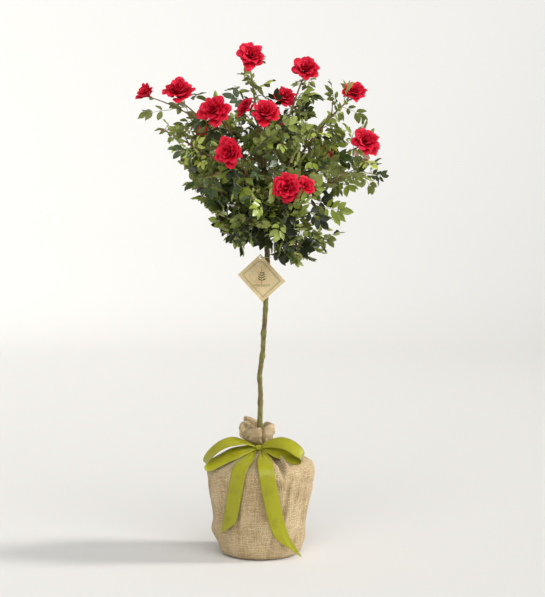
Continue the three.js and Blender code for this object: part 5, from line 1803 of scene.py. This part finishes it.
class ROSE_OT_stage(bpy.types.Operator):
    """The camera, the paper floor and backdrop, and soft studio light."""
    bl_idname = "rose.stage"
    bl_label = "Stage"

    def execute(self, context):
        scene, stage = context.scene, context.scene.rose_stage
        camera_data = bpy.data.cameras.new("camera")
        camera_data.lens, camera_data.sensor_width = CAMERA_LENS, CAMERA_SENSOR
        scene.camera = bpy.data.objects.new("camera", camera_data)
        scene.camera.location = CAMERA_PLACE
        scene.camera.rotation_euler = (math.radians(90 - CAMERA_DIP), 0, 0)
        scene.collection.objects.link(scene.camera)
        sweep = sweep_mesh()
        sweep.data.materials.append(stage_material(stage))
        add_sun("front", stage.front_strength, (0.35, -2.2, 1.9), 66, (1.0, 1.0, 0.99))
        add_sun("key", stage.key_strength, (2.6, -0.05, 1.15), 13, (1.0, 0.99, 0.97))
        scene.world = bpy.data.worlds.new("studio")
        scene.world.use_nodes = True
        sky = scene.world.node_tree.nodes["Background"]
        sky.inputs["Color"].default_value = WARM_WHITE
        sky.inputs["Strength"].default_value = stage.sky_strength
        scene.view_settings.view_transform = "Standard"
        return {"FINISHED"}


# ---------------------------------------------------------------- add-on

class ROSE_PT_pieces(bpy.types.Panel):
    """The pieces of the rose, with their sizes and colours."""
    bl_idname = "ROSE_PT_pieces"
    bl_label = "Standard Rose"
    bl_space_type = "VIEW_3D"
    bl_region_type = "UI"
    bl_category = "Rose"

    def draw(self, context):
        layout = self.layout
        for group, operators in PANEL_ROWS:
            box = layout.box()
            settings = getattr(context.scene, group)
            for name in settings.bl_rna.properties.keys():
                if name not in ("rna_type", "name"):
                    box.prop(settings, name)
            for operator in operators:
                box.operator(operator)


OPERATORS = (ROSE_OT_stage, ROSE_OT_trunk, ROSE_OT_canes, ROSE_OT_leaves, ROSE_OT_blooms, ROSE_OT_sack,
             ROSE_OT_ribbon, ROSE_OT_tag)
SETTINGS = {"rose_cloth": ClothSettings, "rose_plant": PlantSettings, "rose_stage": StageSettings}
PANEL_ROWS = (
    ("rose_plant", ("rose.trunk", "rose.canes", "rose.leaves", "rose.blooms")),
    ("rose_cloth", ("rose.sack", "rose.ribbon", "rose.tag")),
    ("rose_stage", ("rose.stage",)),
)


def register():
    for made in (*SETTINGS.values(), *OPERATORS, ROSE_PT_pieces):
        bpy.utils.register_class(made)
    for name, group in SETTINGS.items():
        setattr(bpy.types.Scene, name, PointerProperty(type=group))


def unregister():
    for name in SETTINGS:
        delattr(bpy.types.Scene, name)
    for made in reversed((*SETTINGS.values(), *OPERATORS, ROSE_PT_pieces)):
        bpy.utils.unregister_class(made)


def main():
    register()
    for operator in (bpy.ops.rose.stage, bpy.ops.rose.trunk, bpy.ops.rose.canes, bpy.ops.rose.leaves,
                     bpy.ops.rose.blooms, bpy.ops.rose.sack, bpy.ops.rose.ribbon, bpy.ops.rose.tag):
        operator()


if __name__ == "__main__":
    main()
